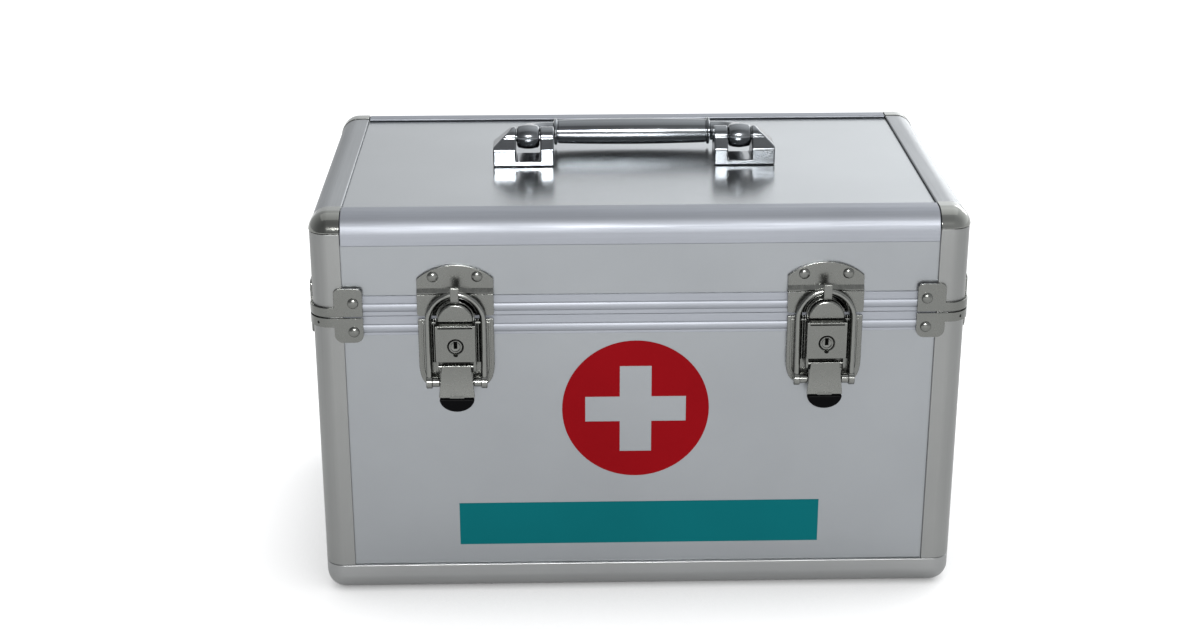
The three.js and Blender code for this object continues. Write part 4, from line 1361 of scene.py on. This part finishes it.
    def lever(self) -> None:
        """The bowed lever with its roll and cheeks, and its tip."""
        out, up = self.pivot
        end, thick = self.lever_end, self.lever_sheet
        front = out + self.lever_roll
        bowed = bow((front, up), (front, (up + end) / 2), (self.lever_out, end))
        line = [(front, up + 1.2), *bowed]
        side = [*line, *[(w - thick, v) for w, v in reversed(line)]]
        half = self.lever_half
        tail = self.profile("latch_lever_left_pressed", side, -half, half)
        top, foot, beyond = (6.7, up + 4), (9.0, end - 2), 20
        for sign in (-1, 1):
            waist = [top, foot, (beyond, foot[1]), (beyond, top[1])]
            cut(tail, self.plate("wedge", [(sign * u, v) for u, v in waist], 0, 14))
        soften(tail, 0.3)
        half, low, high = self.tongue_half, end - self.tongue_end, end + 1
        outline = mirrored([(half, high), (half, low)])
        tongue = self.plate("tongue", outline, self.lever_out - thick, self.lever_out)
        half, sink, radius = self.roll_half, self.roll_sink, self.lever_roll - 0.8
        parts = [tail, tongue, self.bar("roll", -half, half, out - sink, up - sink, radius)]
        bail_out, bail_up = self.bail_pivot
        back, radius = front - thick / 2, self.cheek
        outline = [
            (back, bail_up + 6), (bail_out - radius, bail_up + 1.5),
            *arc((bail_out, bail_up), radius, 180, 270, 8), (back, bail_up - radius),
        ]
        parts += self.cheeks(outline, 6.8, 8.0, 0.2)
        self.made["latch_lever"] = put_together(tail.name, *parts)

        turns = [math.radians(t) for t in range(0, -181, -9)]
        rim = [
            (self.tip_half * math.cos(t), end - 0.3 + self.tip_drop * math.sin(t)) for t in turns
        ]
        face = self.lever_out + 1.0
        tip = self.plate("lever_tip_left_moulded", rim, face - self.tip_thick, face)
        soften(tip, 0.9, 4)
        self.made["lever_tip"] = tip

    def bail(self) -> None:
        """The wire bail with the eyes that hold it to the lever."""
        low_w, low_v = self.bail_pivot
        apex_w, apex_v = self.bail_apex
        half = self.bail_half
        knee = (low_v + apex_v - half) / 2
        bend = arc((0, apex_v - half), half, 180, 0, 28)
        path = [(-half, low_v), (-half, knee), *bend, (half, knee), (half, low_v)]

        def lean(v: float) -> float:
            """The wire's distance from the front plane at a height."""
            return low_w + (v - low_v) / (apex_v - low_v) * (apex_w - low_w)

        rod = bent_rod(
            "latch_bail_left_bent", [self.spot(u, v, lean(v)) for u, v in path], self.wire, 6
        )
        parts = [rod]
        for sign in (-1, 1):
            for radius, start, end in (
                (3.2, half - self.wire, half + self.wire),
                (2.4, 8.3, half - self.wire + 0.2),
                (1.5, 6.3, 8.5),
            ):
                low_u, high_u = sorted((sign * start, sign * end))
                parts.append(self.bar("eye", low_u, high_u, low_w, low_v, radius))
        self.made["latch_bail"] = put_together(rod.name, *parts)

    def keeper(self) -> None:
        """The stepped keeper plate with its hook and rivets."""
        half, low, step_up = self.keeper_half, self.keeper_low, self.keeper_step
        top, corner = self.keeper_top, self.keeper_corner
        rise = top - self.keeper_shoulder
        radius = (half * half + rise * rise) / (2 * rise)
        start = math.degrees(math.atan2(radius - rise, half))
        crown = arc((0, top - radius), radius, start, 180 - start, 20)
        upper = self.plate("upper", [(-half, 165.0), (half, 165.0), *crown], *self.raised_layer)
        lower = self.plate(
            "latch_keeper_left_pressed",
            [*arc((half - corner, low + corner), corner, -90, 0, 4), (half, step_up),
             (-half, step_up), *arc((-half + corner, low + corner), corner, 180, 270, 4)],
            *self.keeper_layer,
        )
        middle = self.dome_apex - self.lock_half + 0.4
        for near in self.keeper_grooves:
            ring = self.groove_section(near, 1.8)
            cut(lower, self.round_form("groove", middle, [*ring, ring[0]], 64))
        back, face = self.raised_layer[0], self.keeper_layer[1]
        step = self.profile(
            "step",
            [(0.2, step_up - 0.1), (face, step_up + 0.2), (face, step_up + 0.9), (0.1, 165.7),
             (back, 165.7), (back, step_up + 1.2)],
            -half, half,
        )
        for part in (upper, lower, step):
            soften(part, 0.35)
        back, tip_top, low, bend = 7.1, 168.7, 160.0, 162.3
        hook = self.profile(
            "hook",
            [
                (0.9, low), (back - 0.9, low), *arc((back - 0.9, bend), bend - low, -90, 0, 8),
                *arc((back + 0.7, tip_top - 0.7), 0.7, 0, 180, 8),
                (back, bend), (back - 0.7, low + 1.6), (0.9, low + 1.6),
            ],
            -2, 2,
        )
        soften(hook, 0.35)
        u, v = self.rivet_at
        rivets = [rivet("rivet", self.spot(s * u, v, 0.1), (0, -1, 0)) for s in (-1, 1)]
        self.made["latch_keeper"] = put_together(lower.name, lower, upper, step, hook, *rivets)

    def build(self) -> None:
        """Builds the left latch and copies it to the right."""
        self.body()
        self.plug()
        self.lever()
        self.bail()
        self.keeper()
        rides = {
            "latch_body": ("base", NICKEL),
            "key_plug": ("plug_{}", NICKEL),
            "latch_lever": ("lever_{}", NICKEL),
            "lever_tip": ("lever_{}", BLACK),
            "latch_bail": ("bail_{}", WIRE),
            "latch_keeper": ("lid", NICKEL),
        }
        for node, (body, finish) in rides.items():
            both_sides(self.made[node], body, finish, node, move=(2 * self.centre, 0, 0))


# hinges and handle


@dataclass
class Hinges:
    """The two stop hinges on the back."""

    centre: float = 90.0
    half: float = 19.0
    axis_out: float = 3.0
    knuckle: float = 2.8
    knuckles: int = 5
    leaf: float = 29.0
    corner: float = 5.0
    sheet: float = 1.2
    play: float = 0.15
    leaf_from: float = 3.0
    rivet_across: float = 11.5
    rivet_from_end: float = 7.0

    def spot(self, u: float, v: float, w: float) -> Vector:
        """A point on the left hinge: across, up and out of the back plane."""
        return at(-self.centre + u, DEPTH / 2 + w, v)

    def on_axis(self, name: str, shape: Sequence[Flat]) -> Shape:
        """A form turned about the hinge line, from its profile as across and radius."""
        points = [self.spot(u, PARTING + r, self.axis_out) for u, r in shape]
        return turned(name, points, self.spot(0, PARTING, self.axis_out), (1, 0, 0))

    def leaf_piece(self, on_lid: bool) -> Shape:
        """One leaf with its knuckles and rivets.

        Args:
            on_lid: Whether it is the lid's leaf.

        Returns:
            The leaf.
        """
        sign = 1 if on_lid else -1
        near = PARTING + sign * self.leaf_from
        far = PARTING + sign * (PARTING_GAP / 2 + self.leaf)
        c, half = self.corner, self.half
        turn = (0, 90) if on_lid else (0, -90)
        outline = [
            (half, near),
            *arc((half - c, far - sign * c), c, turn[0], turn[1], 8),
            *arc((-half + c, far - sign * c), c, turn[1], 2 * turn[1], 8),
            (-half, near),
        ]
        name = f"hinge_{'lid' if on_lid else 'base'}_leaf_left_pressed"
        points = [self.spot(u, v, 0.2) for u, v in outline]
        leaf = prism(name, points, (0, self.sheet, 0))
        soften(leaf, 0.35)
        parts = [leaf]
        pitch = 2 * half / self.knuckles
        for i in range(self.knuckles):
            if (i % 2 == 1) != on_lid:
                continue
            low = -half + i * pitch + self.play
            high = low + pitch - 2 * self.play
            radius, bore, soft = self.knuckle, 1.6, 0.2
            shape = [
                (low, bore), (low, radius - soft), (low + soft, radius),
                (high - soft, radius), (high, radius - soft), (high, bore), (low, bore),
            ]
            parts.append(self.on_axis("knuckle", shape))
            strap = [self.spot(low, PARTING + sign * v, w) for v, w in
                     ((3.6, 0.2), (3.6, 1.4), (1.6, 1.4), (1.2, 0.75), (1.8, 0.35))]
            parts.append(prism("strap", strap, (high - low, 0, 0)))
            if on_lid:
                centre = (self.axis_out, PARTING)
                nose = [*arc(centre, 4.2, -10, 26, 3), *arc(centre, 2.1, 26, -10, 1)]
                points = [self.spot(low, v, w) for w, v in nose]
                bump = prism("nose", points, (high - low, 0, 0))
                soften(bump, 0.25)
                parts.append(bump)
        for u in (-self.rivet_across, self.rivet_across):
            foot = self.spot(u, far - sign * self.rivet_from_end, 0.2 + self.sheet)
            parts.append(rivet("rivet", foot, (0, 1, 0)))
        return put_together(name, *parts)

    def build(self) -> None:
        """Builds both hinges."""
        end, round_off, radius = self.half - self.play, 0.2, 1.4
        pin_shape = [
            (-end, 0), (-end, radius - round_off), (-end + round_off, radius),
            (end - round_off, radius), (end, radius - round_off), (end, 0),
        ]
        pin = self.on_axis("hinge_pin_left_turned", pin_shape)
        for node, piece, body in (
            ("hinge_base_leaf", self.leaf_piece(False), "base"),
            ("hinge_lid_leaf", self.leaf_piece(True), "lid"),
            ("hinge_pin", pin, "base"),
        ):
            both_sides(piece, body, NICKEL, node, move=(2 * self.centre, 0, 0))


@dataclass
class Handle:
    """The drop handle: a swelling grip on two bent arms whose barrels sit in forked brackets."""

    pivot_y: float = -2.0
    pivot_z: float = 214.7
    reach: float = 27.5
    drop: float = 5.1
    grip_radius: float = 6.9
    grip_end: float = 6.3
    grip_half: float = 43.0
    arm: float = 5.1
    arm_half: float = 54.85
    drum: float = 6.3
    drum_width: float = 11.7
    seat: float = 201.0
    floor: float = 2.8
    wall: float = 8.5
    lug: float = 5.2
    end_height: float = 9.8
    inner_end: float = 41.5
    outer_end: float = 73.0
    slant_from: float = 63.0
    half_depth: float = 8.5
    clear: float = 12.0
    drum_gap: float = 0.35
    pin_radius: float = 2.5
    pin_seat: float = 3.0

    def spot(self, x: float, y: float, z: float) -> Vector:
        """A point near the handle: y and z from the pivot line."""
        return at(x, self.pivot_y + y, self.pivot_z + z)

    def on_line(self, name: str, shape: Sequence[Flat], y: float, steps: int) -> Shape:
        """A form turned about a level line across the case.

        Args:
            name: The form's name.
            shape: Its profile as across and radius.
            y: The line's distance behind the pivot.
            steps: Facets round the line.

        Returns:
            The form.
        """
        points = [self.spot(x, y, r) for x, r in shape]
        return turned(name, points, self.spot(0, y, 0), (1, 0, 0), steps)

    def lay_down(self, piece: Shape) -> None:
        """Leans a piece that was modelled level, so that its grip comes down on the lid.

        Args:
            piece: The piece, modelled with the grip level with the pivot.
        """
        edit(piece)
        bpy.ops.transform.rotate(
            value=math.atan2(self.drop, self.reach),
            orient_axis="X",
            center_override=self.spot(0, 0, 0),
        )
        close_edit()

    def grip_profile(self) -> list[Flat]:
        """Half of the grip's profile from the middle out: along and radius.

        Returns:
            The profile's points.
        """
        collar = self.grip_half - 4.1
        shape = []
        for i in range(13):
            share = i / 12
            radius = self.grip_radius - (self.grip_radius - self.grip_end) * share**2
            shape.append((share * collar, radius))
        shape += [
            (collar + 0.3, 5.9), (collar + 0.6, 5.9), (collar + 0.8, 6.7),
            (collar + 1.3, 7.1), (collar + 2.0, 7.1), (collar + 2.4, 6.7),
            (collar + 2.6, 5.9), (collar + 3.0, self.arm), (self.grip_half, self.arm),
            (self.grip_half, 0),
        ]
        return shape

    def arm_path(self) -> list[Flat]:
        """The right arm's centre line from the grip to the barrel: across and back.

        Returns:
            The line's points.
        """
        length = math.hypot(self.reach, self.drop)
        bend = 9.5
        corner = arc((self.arm_half - bend, length - bend), bend, 90, 0, 14)
        return [(self.grip_half - 2, length), *corner, (self.arm_half, 0.5)]

    def drum_profile(self) -> list[Flat]:
        """The barrel's profile: along and radius, its rims rounded.

        Returns:
            The profile's points.
        """
        half = self.drum_width / 2
        shape = [(-half, 0.0), (-half, self.drum - 1.9), (-half + 0.4, self.drum - 1.2)]
        for i in range(11):
            across = (i / 5 - 1) * 0.86
            shape.append((across * half, self.drum - 1.0 * across * across))
        return [*shape, (half - 0.4, self.drum - 1.2), (half, self.drum - 1.9), (half, 0.0)]

    def grip(self) -> None:
        """The grip, its arms and barrels."""
        length = math.hypot(self.reach, self.drop)
        shape = self.grip_profile()
        whole = [*[(-x, r) for x, r in reversed(shape[1:])], *shape]
        parts = [self.on_line("handle_grip_cast", whole, length, 48)]
        for sign in (-1, 1):
            path = [self.spot(sign * x, y, 0) for x, y in self.arm_path()]
            parts.append(bent_rod("arm", path, self.arm, 8))
            drum = [(sign * self.arm_half + x, r) for x, r in self.drum_profile()]
            parts.append(self.on_line("drum", drum, 0, 48))
        grip = put_together("handle_grip_cast", *parts)
        self.lay_down(grip)
        hand_over(grip, "handle", CHROME, ["handle_grip"], 40)

    def bracket(self) -> Shape:
        """The left bracket with its two lugs and pin.

        Returns:
            The bracket.
        """
        rise = self.pivot_z - self.seat
        low = -rise
        d = self.half_depth
        wall = low + self.wall
        hump = [(-d, low), (d, low), (d, wall), *arc((0, 0), self.lug, 0, 180, 20), (-d, wall)]
        start = [self.spot(-self.outer_end, y, z) for y, z in hump]
        body = prism("handle_bracket_left_cast", start, (self.outer_end - self.inner_end, 0, 0))
        steep = (self.lug + 0.2 - low - self.end_height) / (self.outer_end - self.slant_from)
        beyond = self.outer_end + 1
        wedge = [
            (-self.slant_from, self.lug + 0.2),
            (-beyond, low + self.end_height - steep),
            (-beyond, 9),
            (-self.slant_from, 9),
        ]
        side = [self.spot(x, -self.clear, z) for x, z in wedge]
        cut(body, prism("wedge", side, (0, 2 * self.clear, 0)))
        half = self.drum_width / 2 + self.drum_gap
        fork = block(
            "fork",
            (-self.arm_half - half, self.pivot_y - self.clear, self.seat + self.floor),
            (-self.arm_half + half, self.pivot_y + self.clear, self.pivot_z + self.clear),
        )
        cut(body, fork)
        soften(body, 0.8, 4, 32)
        thick, reach = self.pin_radius, half + self.pin_seat
        low, high = -self.arm_half - reach, -self.arm_half + reach
        pin_shape = [(low, 0), (low, thick), (high, thick), (high, 0)]
        return put_together(body.name, body, self.on_line("pin", pin_shape, 0, 24))

    def build(self) -> None:
        """Builds the brackets and the grip."""
        both_sides(self.bracket(), "lid", CHROME, "handle_bracket", mirror=(-1, 1, 1))
        self.grip()


# the studio


@dataclass
class Studio:
    """Floor, world, lamps and camera."""

    camera_at: Point = (-40.8, -990.7, 495.4)
    pitch: float = 21.03
    yaw: float = 1.34
    roll: float = -0.07
    lens: float = 59.13
    floor_pale: float = 0.5
    floor_glow: float = 0.66
    floor_mirror: float = 0.48
    painted_shadow_reach: float = 0.07
    room_front: float = 0.4
    room_back: float = 1.2
    room_top: float = 0.85
    room_left: float = 0.6
    room_right: float = 1.6

    def camera(self) -> None:
        """Puts the camera where the photograph was taken."""
        clear_selection()
        bpy.ops.object.camera_add(location=at(*self.camera_at))
        camera = bpy.context.object
        camera.name = "photo_camera"
        pitch, yaw, roll = (math.radians(v) for v in (self.pitch, self.yaw, self.roll))
        camera.rotation_euler = Euler((math.pi / 2 - pitch, 0.0, -yaw), "XYZ")
        camera.matrix_world = (
            Matrix.Translation(at(*self.camera_at))
            @ camera.rotation_euler.to_matrix().to_4x4()
            @ Matrix.Rotation(roll, 4, "Z")
        )
        camera.data.lens = self.lens
        camera.data.sensor_width = 36
        camera.data.clip_start = 0.05
        bpy.context.scene.camera = camera

    def floor(self) -> None:
        """A pale floor that carries the shadow; its glow is darkened near the case as a painted
        contact shadow.
        """
        clear_selection()
        bpy.ops.mesh.primitive_plane_add(size=12, location=(0, 0, 0))
        floor = bpy.context.object
        floor.name = "studio_floor"
        paint = bpy.data.materials.new("pale_floor")
        paint.use_nodes = True
        tree = paint.node_tree
        shader = tree.nodes["Principled BSDF"]
        pale = (*[self.floor_pale] * 3, 1)
        feed(tree, shader, {"Base Color": pale, "Roughness": 0.9})
        rays = add_node(tree, "LightPath", {}).outputs
        seen = multiply(tree, rays["Is Camera Ray"], self.floor_glow)
        mirrored = multiply(tree, rays["Is Glossy Ray"], self.floor_mirror)
        total = add_node(tree, "Math", {0: seen, 1: mirrored}, operation="ADD").outputs["Value"]
        # The glow is multiplied by ambient occlusion, so it darkens near the case, for the camera
        # and in reflections: a painted contact shadow.
        painted_contact_shadow = add_node(tree, "AmbientOcclusion", {"Distance": self.painted_shadow_reach}, samples=3)
        glow = add_node(tree, "Emission", {"Strength": multiply(tree, total, painted_contact_shadow.outputs["AO"])})
        both = add_node(
            tree, "AddShader", {0: shader.outputs["BSDF"], 1: glow.outputs["Emission"]}
        )
        feed(tree, tree.nodes["Material Output"], {"Surface": both.outputs["Shader"]})
        floor.data.materials.append(paint)

    def world(self) -> None:
        """A soft room, darker behind the camera and overhead, seen as white by the camera."""
        world = bpy.data.worlds.new("studio_world")
        bpy.context.scene.world = world
        world.use_nodes = True
        tree = world.node_tree
        place = add_node(tree, "TexCoord", {}).outputs["Generated"]
        parts = add_node(tree, "SeparateXYZ", {"Vector": place}).outputs
        depth, rise, side = (
            map_range(tree, parts[axis], source, target, interpolation_type=kind)
            for axis, source, target, kind in (
                ("Y", (-0.7, 0.8), (self.room_front, self.room_back), "SMOOTHSTEP"),
                ("Z", (0.15, 0.9), (1.0, self.room_top), "LINEAR"),
                ("X", (-0.4, 0.4), (self.room_left, self.room_right), "SMOOTHSTEP"),
            )
        )
        strength = multiply(tree, multiply(tree, depth, rise), side)
        sky = tree.nodes["Background"]
        feed(tree, sky, {"Color": (0.96, 0.98, 1.0, 1), "Strength": strength})
        white = add_node(tree, "Background", {"Color": (1, 1, 1, 1), "Strength": 1.0})
        seen = add_node(tree, "LightPath", {}).outputs["Is Camera Ray"]
        shaders = {1: sky.outputs["Background"], 2: white.outputs["Background"]}
        pick = add_node(tree, "MixShader", {"Fac": seen, **shaders})
        feed(tree, tree.nodes["World Output"], {"Surface": pick.outputs["Shader"]})

    def lamp(self, name: str, place: Point, aim: Point, size: Flat, power: float) -> None:
        """A soft rectangular lamp.

        Args:
            name: The lamp's name.
            place: Where it hangs, in metres.
            aim: What it points at, in metres.
            size: Its sides in metres.
            power: Its power in watts.
        """
        clear_selection()
        bpy.ops.object.light_add(type="AREA", location=place)
        lamp = bpy.context.object
        lamp.name = name
        lamp.data.shape = "RECTANGLE"
        lamp.data.size, lamp.data.size_y = size
        lamp.data.energy = power
        direction = Vector(aim) - Vector(place)
        lamp.rotation_euler = direction.to_track_quat("-Z", "Y").to_euler()

    def build(self) -> None:
        """Sets up the whole studio."""
        self.camera()
        self.floor()
        self.world()
        self.lamp("top_softbox", (0.0, 0.2, 1.5), (0, 0, 0.1), (2.0, 1.4), 3)
        self.lamp("flash", (0.09, -2.95, 1.32), (0, 0, 0.15), (0.07, 0.05), 60)
        self.lamp("window", (-0.2, -2.95, 1.3), (0, 0, 0.15), (0.2, 0.3), 30)
        self.lamp("right_softbox", (1.2, 1.4, 0.75), (0, 0, 0.15), (1.0, 0.7), 8)
        scene = bpy.context.scene
        scene.view_settings.view_transform = "Standard"


def main() -> None:
    """Builds the object's pieces and the studio in order."""
    logging.basicConfig(level=logging.INFO, format="%(message)s")
    Studio().build()
    Panels().build()
    CornerRails().build()
    CornerBlocks().build()
    Rims().build()
    Braces().build()
    Latches().build()
    Hinges().build()
    Handle().build()


if __name__ == "__main__":
    main()
